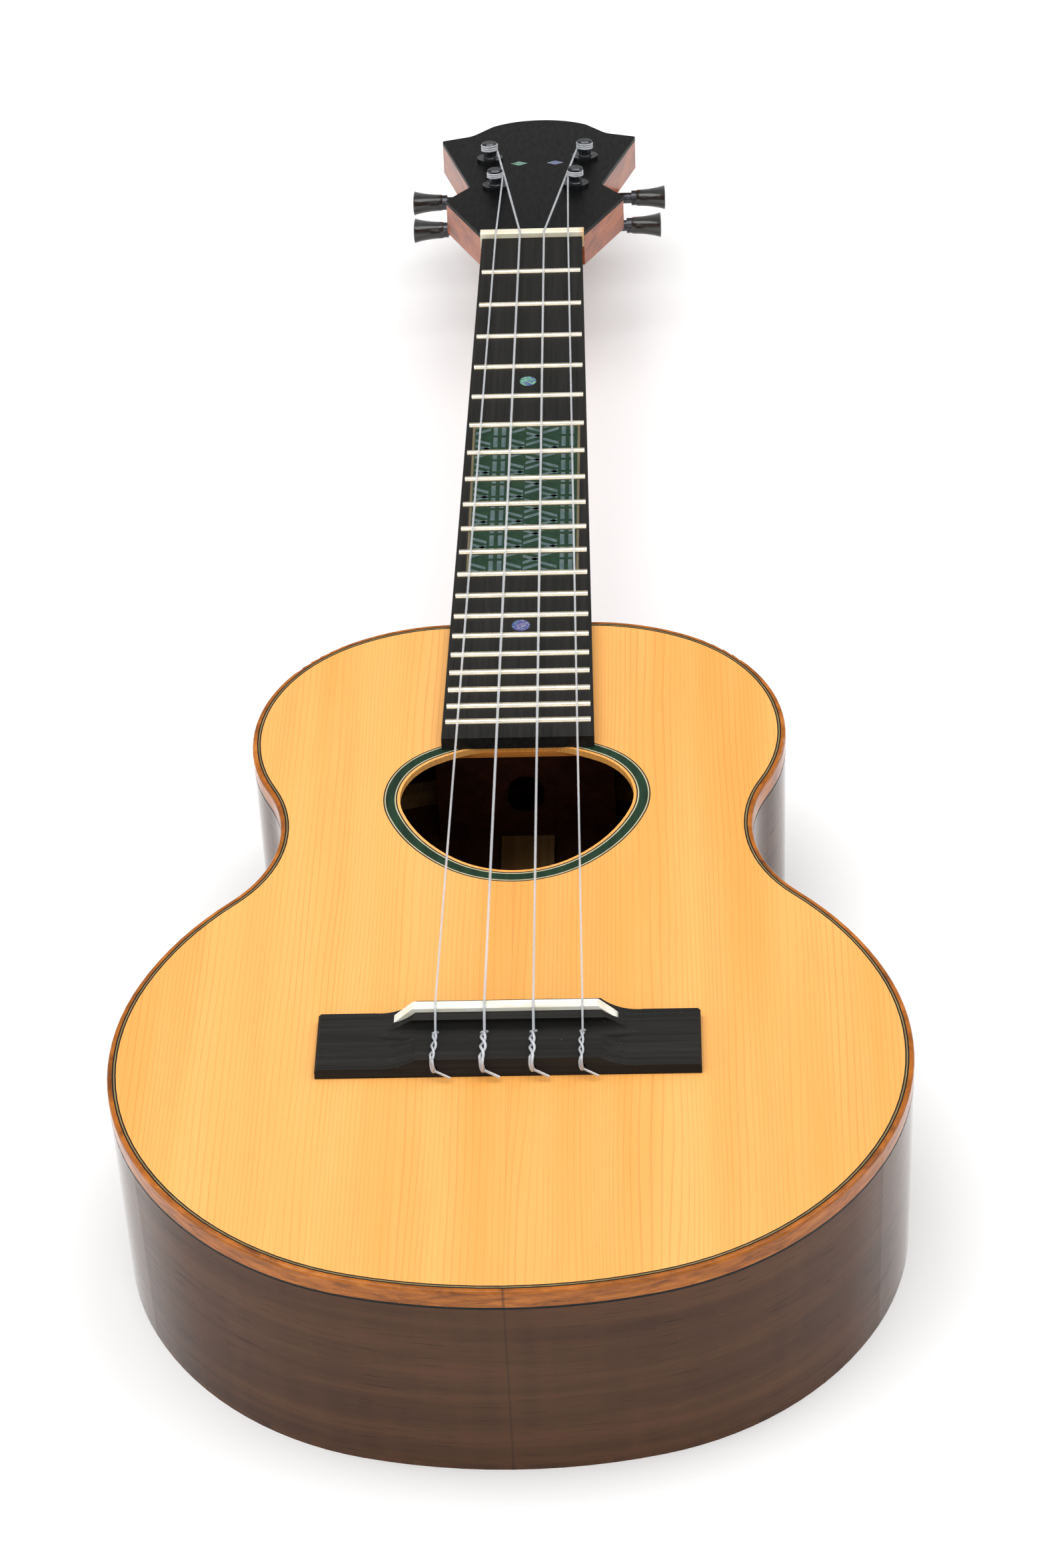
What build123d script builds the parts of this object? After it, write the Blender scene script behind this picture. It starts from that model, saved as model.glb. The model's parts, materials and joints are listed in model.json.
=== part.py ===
from build123d import *
import os
from math import cos, hypot, radians, sin

# A four-string tenor ukulele, in millimetres.
# +Z up, +Y from the tail to the head, +X to the treble side, flat back on Z = 0.

# ---- driving dimensions ----
SCALE = 432.0
FRET_COUNT = 20
BODY_FRET = 14

BODY_DEPTH = 73.8
TOP_THICK = 2.2
BACK_THICK = 2.2
SIDE_THICK = 2.0
BINDING_WIDTH = 1.5
BINDING_HEIGHT = 6.0
PURFLING_LINE = 0.4
SIDE_LINE_HEIGHT = 0.9
LINING_WIDTH = 5.5
LINING_HEIGHT = 6.0

# Outer edge of the body from the tail centre round to the neck: (radius, sweep in degrees),
# a negative radius bends the other way at the waist.
BOUT_ARCS = (
    (185.6, 13.5),
    (100.0, 47.2),
    (86.5, 51.0),
    (107.8, 23.9),
    (-44.3, 73.9),
    (57.0, 89.0),
    (72.5, 29.3),
)
TAIL_REACH = 540.95

# Outer edge of the rosette from its tail end round to its neck end. The last arc closes on the axis.
ROSETTE_ARCS = ((37.0, 36.0), (54.0, 34.0), (27.0, 80.0))
ROSETTE_REACH = 369.6
ROSETTE_GREEN = 2.8
ROSETTE_LINE = 0.4
HOLE_RIM = 0.9
HOLE_TOP_REACH = 303.6
INLAY_DEPTH = 1.0

BOARD_THICK = 4.5
BOARD_REACH = 304.4
BOARD_WIDTH_NUT = 38.3
BOARD_WIDTH_END = 49.2
FRET_MARGIN = 1.0
FRET_WIDTH = 2.4
FRET_CROWN = 1.0
TANG_WIDTH = 0.6
TANG_DEPTH = 2.0
DOT_SPACES = (5, 15)
DOT_RADIUS = 3.0
PANEL_SPACES = (7, 8, 9, 10, 11, 12)
PANEL_HALF_WIDTH = 18.2
PANEL_GAP = 1.5
PANEL_DEPTH = 0.8

NUT_THICK = 4.5
NUT_WIDTH = 39.6
NUT_CREST = 1.2
STRING_CLEARANCE_NUT = 0.5
NUT_PITCH = 9.2
SADDLE_PITCH = 14.4
STRING_RADII = (0.36, 0.43, 0.41, 0.34)
SLOT_PLAY = 0.06
JOINT_SWELL = 0.02

NECK_DEPTH_NUT = 15.0
NECK_DEPTH_BODY = 17.5

HEAD_TILT = 12.0
HEAD_THICK = 13.0
HEAD_PLATE = 1.5
HEAD_RISE = 3.5
HEAD_OUTLINE = ((35.0, 41.0), (26.0, 57.0), (39.7, 116.0))
HEAD_STEP = (19.3, 133.5)
HEAD_SHOULDER = (27.5, 121.5)
HEAD_LENGTH = 141.0
POSTS = ((15.9, 56.5), (19.2, 90.2))

POST_RADIUS = 3.0
POST_WAIST = 2.5
POST_TOP = 7.4
WINDING_HEIGHT = 4.0
WINDING_LAP = 1.2
WINDING_GAP = 0.12
BUSHING_SLEEVE = 4.0
BUSHING_FLANGE = 5.2
RUNNING_GAP = 0.08
PLATE_THICK = 1.2
WORM_DEPTH = 20.0
GEAR_TEETH = 14
CENTRE_DISTANCE = 7.5
GEAR_PITCH_RADIUS = 4.55
GEAR_OUTER = 5.1
GEAR_ROOT = 3.9
GEAR_THICK = 2.4
WORM_CORE = 2.3
WORM_OUTER = 3.45
SHAFT_RADIUS = 1.6
LUG_OFFSET = 4.8
LUG_THICK = 1.4
BUTTON_STARTS = {15.9: 37.7, 19.2: 39.6}
BUTTON_LENGTH = 11.8
# Along the button as a share of its length, half height, half thickness.
BUTTON_STATIONS = ((0, 3.5, 3.2), (0.4, 3.9, 3.4), (0.78, 5.4, 4.0), (1, 6.8, 4.6))

BRIDGE_SHIFT = -0.2
BRIDGE_LENGTH = 112.9
BRIDGE_FRONT_REACH = 431.5
BRIDGE_REAR_REACH = 455.8
BRIDGE_WING = 3.2
BRIDGE_LIP = 8.2
TIE_BLOCK = 5.8
TIE_BLOCK_BEVEL = 1.2
RAISED_HALF = 26.8
SCOOP_HALF = 39.8
TROUGH_REACH = 441.4
TROUGH_HEIGHT = 5.2
TROUGH_RADIUS = 3.2
TROUGH_STRAIGHT = 31.0
TIE_HOLE_HEIGHT = 3.0
TIE_HOLE_RADIUS = 0.9
TIE_HOLE_FRONT = 443.9
SADDLE_SHIFT = -1.05
SADDLE_REACH = 434.6
SADDLE_BEND = 435.9
SADDLE_THICK = 3.2
SADDLE_LENGTH = 66.2
SADDLE_TOP_LENGTH = 53.9
SADDLE_HEIGHT = 9.3
SADDLE_SHOULDER = 3.6
SADDLE_SEAT = 1.6
SADDLE_EASE = 0.35

# ---- derived stations ----
TILT_COS = cos(radians(HEAD_TILT))
TILT_SIN = sin(radians(HEAD_TILT))
HEAD_REACH = NUT_THICK + HEAD_LENGTH * TILT_COS
NUT_Y = (TAIL_REACH - HEAD_REACH) / 2
TAIL_Y = NUT_Y - TAIL_REACH
EDGE_WIDTH = BINDING_WIDTH + 3 * PURFLING_LINE
TOP_UNDER = BODY_DEPTH - TOP_THICK
BOARD_TOP = BODY_DEPTH + BOARD_THICK
CROWN_TOP = BOARD_TOP + FRET_CROWN
BINDING_FLOOR = BODY_DEPTH - BINDING_HEIGHT
NUT_STRING_Z = CROWN_TOP + STRING_CLEARANCE_NUT
SADDLE_TOP = BODY_DEPTH + SADDLE_HEIGHT
HEAD_FACE_Z = BODY_DEPTH + HEAD_RISE
WORM_PITCH = 2 * 3.14159265 * GEAR_PITCH_RADIUS / GEAR_TEETH

os.makedirs("parts", exist_ok=True)


def save(builder, name):
    """Label the finished sub-part and write it."""
    builder.part.label = name
    export_step(builder.part, "parts/" + name + ".step")


def arc_chain(start_y, arcs, inset):
    """Tangent arcs up the right-hand side from (0, start_y), all moved in by inset."""
    x, y, heading = 0.0, start_y, 0.0
    chain = []
    for radius, sweep in arcs:
        centre_x = x - radius * sin(radians(heading))
        centre_y = y + radius * cos(radians(heading))
        bend = 1 if radius > 0 else -1
        chain.append((centre_x, centre_y, abs(radius - inset), heading - 90 * bend, sweep * bend))
        heading += sweep * bend
        x = centre_x + radius * sin(radians(heading))
        y = centre_y - radius * cos(radians(heading))
    return chain, x, y, heading


def body_face(inset):
    """The whole guitar-shaped outline, moved in from the outer edge by inset."""
    chain, end_x, end_y, _ = arc_chain(TAIL_Y, BOUT_ARCS, inset)
    with BuildSketch() as face:
        with BuildLine():
            for centre_x, centre_y, radius, first, turn in chain:
                CenterArc((centre_x, centre_y), radius, first, turn)
            Line((end_x, end_y - inset), (0, end_y - inset))
            mirror(about=Plane.YZ)
        make_face()
    return face.sketch


def egg_face(inset):
    """The egg-shaped rosette outline, moved in by inset."""
    start_y = NUT_Y - ROSETTE_REACH
    _, x, y, heading = arc_chain(start_y, ROSETTE_ARCS, 0)
    closing = x / sin(radians(heading))
    chain, *_ = arc_chain(start_y, ROSETTE_ARCS + ((closing, 180 - heading),), inset)
    with BuildSketch() as face:
        with BuildLine():
            for centre_x, centre_y, radius, first, turn in chain:
                CenterArc((centre_x, centre_y), radius, first, turn)
            mirror(about=Plane.YZ)
        make_face()
    return face.sketch


def ring_face(outline, outer, inner):
    """The band between two insets of an outline."""
    with BuildSketch() as face:
        add(outline(outer))
        add(outline(inner), mode=Mode.SUBTRACT)
    return face.sketch


def fret_y(number):
    """Position of a fret along the board, from the equal-tempered rule."""
    return NUT_Y - SCALE * (1 - 2 ** (-number / 12))


def board_width(y):
    """Width of the tapered fretboard at y."""
    return BOARD_WIDTH_NUT + (BOARD_WIDTH_END - BOARD_WIDTH_NUT) * (NUT_Y - y) / BOARD_REACH


def rectangle_at(x_low, y_low, x_high, y_high):
    """A rectangle from its corners, as a sketch."""
    with BuildSketch() as face:
        with Locations(((x_low + x_high) / 2, (y_low + y_high) / 2)):
            Rectangle(x_high - x_low, y_high - y_low)
    return face.sketch


def head_plane(x=0.0, along=0.0, depth=0.0):
    """A plane on the tilted headstock: x across, along up the head, depth below its face."""
    y = NUT_Y + NUT_THICK + along * TILT_COS - depth * TILT_SIN
    z = HEAD_FACE_Z - along * TILT_SIN - depth * TILT_COS
    return Plane(origin=(x, y, z), x_dir=(1, 0, 0), z_dir=(0, TILT_SIN, TILT_COS))


def shaft_plane(along, across):
    """A plane square to a tuner's worm shaft, at the distance across from the centreline."""
    origin = head_plane(across, along + CENTRE_DISTANCE, WORM_DEPTH).origin
    return Plane(origin=origin, x_dir=(0, TILT_COS, -TILT_SIN), z_dir=(1, 0, 0))


NECK_LINE_Y = arc_chain(TAIL_Y, BOUT_ARCS, 0)[2]
BLOCK_FRONT_Y = NECK_LINE_Y - SIDE_THICK
HEAD_BLOCK_LENGTH = 26.0
TAIL_BLOCK_LENGTH = 16.0
BLOCK_HALF_WIDTH = 30.0
BOLT_HEIGHTS = (24.0, 50.0)
BOLT_RADIUS = 3.0
HOLE_TOP_Y = NUT_Y - HOLE_TOP_REACH
DOUBLER_THICK = 1.6
PLATE_UNDER = 1.5
STRIP_THICK = 1.6


# ---- soundboard and its inlays ----
def make_soundboard():
    with BuildPart() as soundboard:
        with BuildSketch(Plane.XY.offset(TOP_UNDER)):
            add(body_face(EDGE_WIDTH))
        extrude(amount=TOP_THICK)
        with BuildSketch(Plane.XY.offset(TOP_UNDER)):
            add(egg_face(ROSETTE_GREEN + 4 * ROSETTE_LINE + HOLE_RIM))
            add(rectangle_at(-60, HOLE_TOP_Y, 60, HOLE_TOP_Y + 60), mode=Mode.SUBTRACT)
        extrude(amount=TOP_THICK, mode=Mode.SUBTRACT)
        with BuildSketch(Plane.XY.offset(BODY_DEPTH - INLAY_DEPTH)):
            add(ring_face(egg_face, 0, ROSETTE_GREEN + 4 * ROSETTE_LINE))
        extrude(amount=INLAY_DEPTH, mode=Mode.SUBTRACT)
    save(soundboard, "soundboard")


def make_ring_inlay(name, bands):
    with BuildPart() as inlay:
        for outer, inner in bands:
            with BuildSketch(Plane.XY.offset(BODY_DEPTH - INLAY_DEPTH)):
                add(ring_face(egg_face, outer, inner))
            extrude(amount=INLAY_DEPTH)
    save(inlay, name)


def make_rosette():
    line = ROSETTE_LINE
    green_in = 2 * line + ROSETTE_GREEN
    make_ring_inlay("rosette_green", ((2 * line, green_in),))
    make_ring_inlay("rosette_white", ((line, 2 * line), (green_in, green_in + line)))
    make_ring_inlay("rosette_black", ((0, line), (green_in + line, green_in + 2 * line)))


def make_doubler():
    with BuildPart() as doubler:
        with BuildSketch(Plane.XY.offset(TOP_UNDER - DOUBLER_THICK)):
            add(rectangle_at(-40, HOLE_TOP_Y - 0.6, 40, BLOCK_FRONT_Y - HEAD_BLOCK_LENGTH))
        extrude(amount=DOUBLER_THICK)
    save(doubler, "soundhole_doubler")


# ---- body shell ----
def make_back():
    with BuildPart() as back:
        with BuildSketch():
            add(body_face(0))
        extrude(amount=BACK_THICK)
    save(back, "back")


def make_side(name, keep):
    with BuildPart() as side:
        with BuildSketch(Plane.XY.offset(BACK_THICK)):
            add(ring_face(body_face, 0, SIDE_THICK))
        extrude(amount=BINDING_FLOOR - SIDE_LINE_HEIGHT - BACK_THICK)
        with BuildSketch(Plane.XY.offset(BINDING_FLOOR - SIDE_LINE_HEIGHT)):
            add(ring_face(body_face, BINDING_WIDTH, SIDE_THICK))
        extrude(amount=TOP_UNDER - BINDING_FLOOR + SIDE_LINE_HEIGHT)
        with BuildSketch(Plane.XZ.offset(-NECK_LINE_Y)):
            with Locations(*[(0, height) for height in BOLT_HEIGHTS]):
                Circle(BOLT_RADIUS)
        extrude(amount=2 * SIDE_THICK, mode=Mode.SUBTRACT)
        split(bisect_by=Plane.YZ, keep=keep)
    save(side, name)


def make_linings(name, floor):
    with BuildPart() as linings:
        with BuildSketch(Plane.XY.offset(floor)):
            add(ring_face(body_face, SIDE_THICK, SIDE_THICK + LINING_WIDTH))
            for low, high in ((NECK_LINE_Y - 40, NECK_LINE_Y), (TAIL_Y, TAIL_Y + 30)):
                block = rectangle_at(-BLOCK_HALF_WIDTH, low, BLOCK_HALF_WIDTH, high)
                add(block, mode=Mode.SUBTRACT)
        extrude(amount=LINING_HEIGHT)
    save(linings, name)


def make_head_block():
    with BuildPart() as block:
        with BuildSketch(Plane.XY.offset(BACK_THICK)):
            add(body_face(SIDE_THICK))
            block_end = BLOCK_FRONT_Y - HEAD_BLOCK_LENGTH
            block_area = rectangle_at(-BLOCK_HALF_WIDTH, block_end, BLOCK_HALF_WIDTH, NECK_LINE_Y)
            add(block_area, mode=Mode.INTERSECT)
        extrude(amount=TOP_UNDER - BACK_THICK)
        with BuildSketch(Plane.XZ.offset(-NECK_LINE_Y)):
            with Locations(*[(0, height) for height in BOLT_HEIGHTS]):
                Circle(BOLT_RADIUS)
        extrude(amount=2 * HEAD_BLOCK_LENGTH, mode=Mode.SUBTRACT)
    save(block, "head_block")


def make_tail_block():
    with BuildPart() as block:
        with BuildSketch(Plane.XY.offset(BACK_THICK)):
            add(body_face(SIDE_THICK))
            add(
                rectangle_at(-BLOCK_HALF_WIDTH, TAIL_Y, BLOCK_HALF_WIDTH, TAIL_Y + TAIL_BLOCK_LENGTH),
                mode=Mode.INTERSECT,
            )
        extrude(amount=TOP_UNDER - BACK_THICK)
    save(block, "tail_block")


def make_binding():
    with BuildPart() as binding:
        with BuildSketch(Plane.XY.offset(BINDING_FLOOR)):
            add(ring_face(body_face, 0, BINDING_WIDTH))
        extrude(amount=BINDING_HEIGHT)
        top_face = binding.faces().sort_by(Axis.Z)[-1]
        fillet(top_face.outer_wire().edges(), radius=0.9)
    save(binding, "top_binding")


def make_purfling():
    first = BINDING_WIDTH
    line = PURFLING_LINE
    with BuildPart() as black:
        for outer in (first, first + 2 * line):
            with BuildSketch(Plane.XY.offset(TOP_UNDER)):
                add(ring_face(body_face, outer, outer + line))
            extrude(amount=TOP_THICK)
    save(black, "purfling_black")
    with BuildPart() as white:
        with BuildSketch(Plane.XY.offset(TOP_UNDER)):
            add(ring_face(body_face, first + line, first + 2 * line))
        extrude(amount=TOP_THICK)
    save(white, "purfling_white")
    with BuildPart() as side_line:
        with BuildSketch(Plane.XY.offset(BINDING_FLOOR - SIDE_LINE_HEIGHT)):
            add(ring_face(body_face, 0, BINDING_WIDTH))
        extrude(amount=SIDE_LINE_HEIGHT)
    save(side_line, "side_purfling")


# ---- braces inside ----
def cross_brace_face(reach, width):
    """A brace right across the body, stopping at the linings."""
    y = NUT_Y - reach
    with BuildSketch() as face:
        add(body_face(SIDE_THICK + LINING_WIDTH + 0.5))
        add(rectangle_at(-200, y - width / 2, 200, y + width / 2), mode=Mode.INTERSECT)
    return face.sketch


def make_top_braces():
    with BuildPart() as bars:
        with BuildSketch(Plane.XY.offset(TOP_UNDER - 12)):
            add(cross_brace_face(380, 6))
        extrude(amount=12)
        with BuildSketch(Plane.XY.offset(TOP_UNDER - DOUBLER_THICK - 10)):
            add(cross_brace_face(286, 6))
            add(rectangle_at(-40, NUT_Y - 300, 40, NUT_Y - 270), mode=Mode.INTERSECT)
        extrude(amount=10)
    save(bars, "harmonic_bars")
    with BuildPart() as plate:
        with BuildSketch(Plane.XY.offset(TOP_UNDER - PLATE_UNDER)):
            add(rectangle_at(-52, NUT_Y - 458, 52, NUT_Y - 428))
        extrude(amount=PLATE_UNDER)
    save(plate, "bridge_plate")
    with BuildPart() as fans:
        with BuildSketch(Plane.XY.offset(TOP_UNDER - 6)):
            for x, angle in ((-34, -9), (0, 0), (34, 9)):
                with Locations(Location((x, NUT_Y - 452, 0), (0, 0, angle))):
                    Rectangle(5, 132)
        extrude(amount=6)
        with BuildSketch(Plane.XY.offset(TOP_UNDER - PLATE_UNDER)):
            add(rectangle_at(-52, NUT_Y - 458, 52, NUT_Y - 428))
        extrude(amount=PLATE_UNDER, mode=Mode.SUBTRACT)
    save(fans, "fan_braces")


def make_back_braces():
    strip_low = TAIL_Y + TAIL_BLOCK_LENGTH
    strip_high = BLOCK_FRONT_Y - HEAD_BLOCK_LENGTH
    with BuildPart() as strip:
        with BuildSketch(Plane.XY.offset(BACK_THICK)):
            add(rectangle_at(-9, strip_low, 9, strip_high))
        extrude(amount=STRIP_THICK)
    save(strip, "back_strip")
    with BuildPart() as braces:
        with BuildSketch(Plane.XY.offset(BACK_THICK)):
            for reach in (296, 384, 472):
                add(cross_brace_face(reach, 7))
        extrude(amount=9)
        with BuildSketch(Plane.XY.offset(BACK_THICK)):
            add(rectangle_at(-9, strip_low, 9, strip_high))
        extrude(amount=STRIP_THICK, mode=Mode.SUBTRACT)
    save(braces, "back_braces")


# ---- neck and headstock ----
def neck_section(width, depth):
    """Flat-topped round neck section, its flat on the local x axis."""
    with BuildSketch() as face:
        with BuildLine():
            Line((-width / 2, 0), (width / 2, 0))
            ThreePointArc((width / 2, 0), (0, -depth), (-width / 2, 0))
        make_face()
    return face.sketch


def heel_section(width, bulge):
    """Heel section: a chord on the body face and an arc toward the head."""
    with BuildSketch() as face:
        with BuildLine():
            Line((-width / 2, NECK_LINE_Y), (width / 2, NECK_LINE_Y))
            ThreePointArc((width / 2, NECK_LINE_Y), (0, NECK_LINE_Y + bulge), (-width / 2, NECK_LINE_Y))
        make_face()
    return face.sketch


def head_face():
    """Headstock outline: ears, notches, flared corners and a stepped crown."""
    with BuildSketch() as face:
        with BuildLine():
            Polyline((0, 0), (NUT_WIDTH / 2, 0), *HEAD_OUTLINE, HEAD_SHOULDER, HEAD_STEP)
            ThreePointArc(HEAD_STEP, (HEAD_STEP[0] / 2, HEAD_LENGTH - 1.6), (0, HEAD_LENGTH))
            mirror(about=Plane.YZ)
        make_face()
        ears = [v for v in face.vertices() if abs(v.Y - HEAD_OUTLINE[0][1]) < 0.01]
        fillet(ears, radius=2.0)
        notches = [v for v in face.vertices() if abs(v.Y - HEAD_OUTLINE[1][1]) < 0.01]
        fillet(notches, radius=3.0)
        corners = [v for v in face.vertices() if abs(v.Y - HEAD_OUTLINE[2][1]) < 0.01]
        fillet(corners, radius=1.5)
        shoulders = [v for v in face.vertices() if abs(v.Y - HEAD_SHOULDER[1]) < 0.01]
        fillet(shoulders, radius=9.0)
        steps = [v for v in face.vertices() if abs(v.Y - HEAD_STEP[1]) < 0.01]
        fillet(steps, radius=2.0)
    return face.sketch


def post_locations():
    """Post centres on the head face, both sides."""
    return [(side * x, along) for x, along in POSTS for side in (-1, 1)]


def screw_locations():
    """Centres of the tuner plate screws on the head."""
    return [(x, along + offset) for x, along in post_locations() for offset in (-7.4, 13.8)]


def make_neck():
    with BuildPart() as neck:
        nut_end = Plane(origin=(0, NUT_Y + NUT_THICK, BODY_DEPTH), x_dir=(1, 0, 0), z_dir=(0, -1, 0))
        with BuildSketch(nut_end):
            add(neck_section(NUT_WIDTH, NECK_DEPTH_NUT))
        extrude(amount=NUT_THICK)
        with BuildSketch(Plane(origin=(0, NUT_Y, BODY_DEPTH), x_dir=(1, 0, 0), z_dir=(0, -1, 0))):
            add(neck_section(BOARD_WIDTH_NUT, NECK_DEPTH_NUT))
        with BuildSketch(Plane(origin=(0, NECK_LINE_Y, BODY_DEPTH), x_dir=(1, 0, 0), z_dir=(0, -1, 0))):
            add(neck_section(board_width(NECK_LINE_Y), NECK_DEPTH_BODY))
        loft()
        with BuildSketch(Plane.XY.offset(0.0)):
            add(heel_section(26, 11))
        with BuildSketch(Plane.XY.offset(34)):
            add(heel_section(31, 15))
        with BuildSketch(Plane.XY.offset(BODY_DEPTH - 4)):
            add(heel_section(41, 20))
        loft()
        with BuildSketch(Plane(origin=(0, NUT_Y + NUT_THICK, BODY_DEPTH), x_dir=(1, 0, 0), z_dir=(0, -1, 0))):
            add(neck_section(NUT_WIDTH, NECK_DEPTH_NUT))
        blend = head_plane(0, 26, HEAD_PLATE).origin
        with BuildSketch(Plane(origin=blend, x_dir=(1, 0, 0), z_dir=(0, -TILT_COS, TILT_SIN))):
            add(neck_section(34, HEAD_THICK - HEAD_PLATE - 0.2))
        loft()
        with BuildSketch(head_plane(depth=HEAD_THICK)):
            add(head_face())
        extrude(amount=HEAD_THICK - HEAD_PLATE)
        with BuildSketch(Plane.XY.offset(BODY_DEPTH)):
            add(rectangle_at(-40, NUT_Y - 1, 40, NUT_Y + NUT_THICK))
        extrude(amount=20, mode=Mode.SUBTRACT)
        with BuildSketch(head_plane(depth=HEAD_THICK)):
            with Locations(*post_locations()):
                Circle(BUSHING_SLEEVE)
        extrude(amount=HEAD_THICK, mode=Mode.SUBTRACT)
        with BuildSketch(head_plane(depth=HEAD_THICK)):
            with Locations(*screw_locations()):
                Circle(1.2)
        extrude(amount=7, mode=Mode.SUBTRACT)
        with BuildSketch(Plane.XZ.offset(-NECK_LINE_Y)):
            with Locations(*[(0, height) for height in BOLT_HEIGHTS]):
                Circle(BOLT_RADIUS)
        extrude(amount=-9, mode=Mode.SUBTRACT)
    save(neck, "neck")


def make_neck_bolts():
    with BuildPart() as bolts:
        with BuildSketch(Plane.XZ.offset(-NECK_LINE_Y - 9)):
            with Locations(*[(0, height) for height in BOLT_HEIGHTS]):
                Circle(BOLT_RADIUS)
        extrude(amount=9 + SIDE_THICK + HEAD_BLOCK_LENGTH)
        with BuildSketch(Plane.XZ.offset(-BLOCK_FRONT_Y + HEAD_BLOCK_LENGTH)):
            with Locations(*[(0, height) for height in BOLT_HEIGHTS]):
                Circle(6)
        extrude(amount=4)
        with BuildSketch(Plane.XZ.offset(-BLOCK_FRONT_Y + HEAD_BLOCK_LENGTH + 1.5)):
            with Locations(*[(0, height) for height in BOLT_HEIGHTS]):
                RegularPolygon(3, 6)
        extrude(amount=3, mode=Mode.SUBTRACT)
    save(bolts, "neck_bolts")


def make_head_plate():
    with BuildPart() as plate:
        with BuildSketch(head_plane(depth=HEAD_PLATE)):
            add(head_face())
        extrude(amount=HEAD_PLATE)
        with BuildSketch(Plane.XY.offset(BODY_DEPTH)):
            add(rectangle_at(-40, NUT_Y - 1, 40, NUT_Y + NUT_THICK))
        extrude(amount=20, mode=Mode.SUBTRACT)
        with BuildSketch(head_plane(depth=HEAD_PLATE)):
            with Locations(*post_locations()):
                Circle(BUSHING_SLEEVE)
        extrude(amount=HEAD_PLATE, mode=Mode.SUBTRACT)
        with BuildSketch(head_plane(depth=INLAY_DEPTH)):
            add(head_inlay_face())
        extrude(amount=INLAY_DEPTH, mode=Mode.SUBTRACT)
    save(plate, "head_plate")


def head_inlay_face():
    """Two plain lozenges between the posts."""
    with BuildSketch() as face:
        for x in (-7.3, 7.3):
            with BuildLine():
                Polyline((x - 3.4, 85), (x, 82.4), (x + 3.4, 85), (x, 87.6), close=True)
            make_face()
    return face.sketch


def make_head_inlays():
    with BuildPart() as inlays:
        with BuildSketch(head_plane(depth=INLAY_DEPTH)):
            add(head_inlay_face())
        extrude(amount=INLAY_DEPTH)
    save(inlays, "head_inlays")


# ---- fretboard, frets and nut ----
def panel_face():
    """The inlaid panels, one between each pair of frets."""
    with BuildSketch() as face:
        for space in PANEL_SPACES:
            low = fret_y(space) + PANEL_GAP
            high = fret_y(space - 1) - PANEL_GAP
            add(rectangle_at(-PANEL_HALF_WIDTH, low, PANEL_HALF_WIDTH, high))
    return face.sketch


def dot_locations():
    """Centres of the position dots."""
    return [(0, (fret_y(space) + fret_y(space - 1)) / 2) for space in DOT_SPACES]


def make_fretboard():
    end_y = NUT_Y - BOARD_REACH
    with BuildPart() as board:
        with BuildSketch(Plane.XY.offset(BODY_DEPTH)):
            with BuildLine():
                Polyline(
                    (-BOARD_WIDTH_END / 2, end_y),
                    (BOARD_WIDTH_END / 2, end_y),
                    (BOARD_WIDTH_NUT / 2, NUT_Y),
                    (-BOARD_WIDTH_NUT / 2, NUT_Y),
                    close=True,
                )
            make_face()
        extrude(amount=BOARD_THICK)
        with BuildSketch(Plane.XY.offset(BOARD_TOP - TANG_DEPTH)):
            for number in range(1, FRET_COUNT + 1):
                y = fret_y(number)
                with Locations((0, y)):
                    Rectangle(board_width(y) - 2 * FRET_MARGIN, TANG_WIDTH)
        extrude(amount=TANG_DEPTH, mode=Mode.SUBTRACT)
        with BuildSketch(Plane.XY.offset(BOARD_TOP - PANEL_DEPTH)):
            add(panel_face())
            with Locations(*dot_locations()):
                Circle(DOT_RADIUS)
        extrude(amount=PANEL_DEPTH, mode=Mode.SUBTRACT)
    save(board, "fretboard")


def make_board_inlays():
    with BuildPart() as panel:
        with BuildSketch(Plane.XY.offset(BOARD_TOP - PANEL_DEPTH)):
            add(panel_face())
        extrude(amount=PANEL_DEPTH)
    save(panel, "fretboard_panel")
    with BuildPart() as dots:
        with BuildSketch(Plane.XY.offset(BOARD_TOP - PANEL_DEPTH)):
            with Locations(*dot_locations()):
                Circle(DOT_RADIUS)
        extrude(amount=PANEL_DEPTH)
    save(dots, "fret_markers")


def make_frets():
    with BuildPart() as frets:
        for number in range(1, FRET_COUNT + 1):
            y = fret_y(number)
            length = board_width(y) - 2 * FRET_MARGIN
            with BuildSketch(Plane.YZ.offset(-length / 2)):
                with BuildLine():
                    Line((y - FRET_WIDTH / 2, BOARD_TOP), (y + FRET_WIDTH / 2, BOARD_TOP))
                    ThreePointArc(
                        (y + FRET_WIDTH / 2, BOARD_TOP),
                        (y, BOARD_TOP + FRET_CROWN),
                        (y - FRET_WIDTH / 2, BOARD_TOP),
                    )
                make_face()
                with Locations((y, BOARD_TOP - TANG_DEPTH / 2)):
                    Rectangle(TANG_WIDTH, TANG_DEPTH)
            extrude(amount=length)
    save(frets, "frets")


# ---- strings ----
def saddle_places():
    """Distance of each string from the centreline at the saddle."""
    return [SADDLE_PITCH * (index - 1.5) for index in range(4)]


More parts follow.
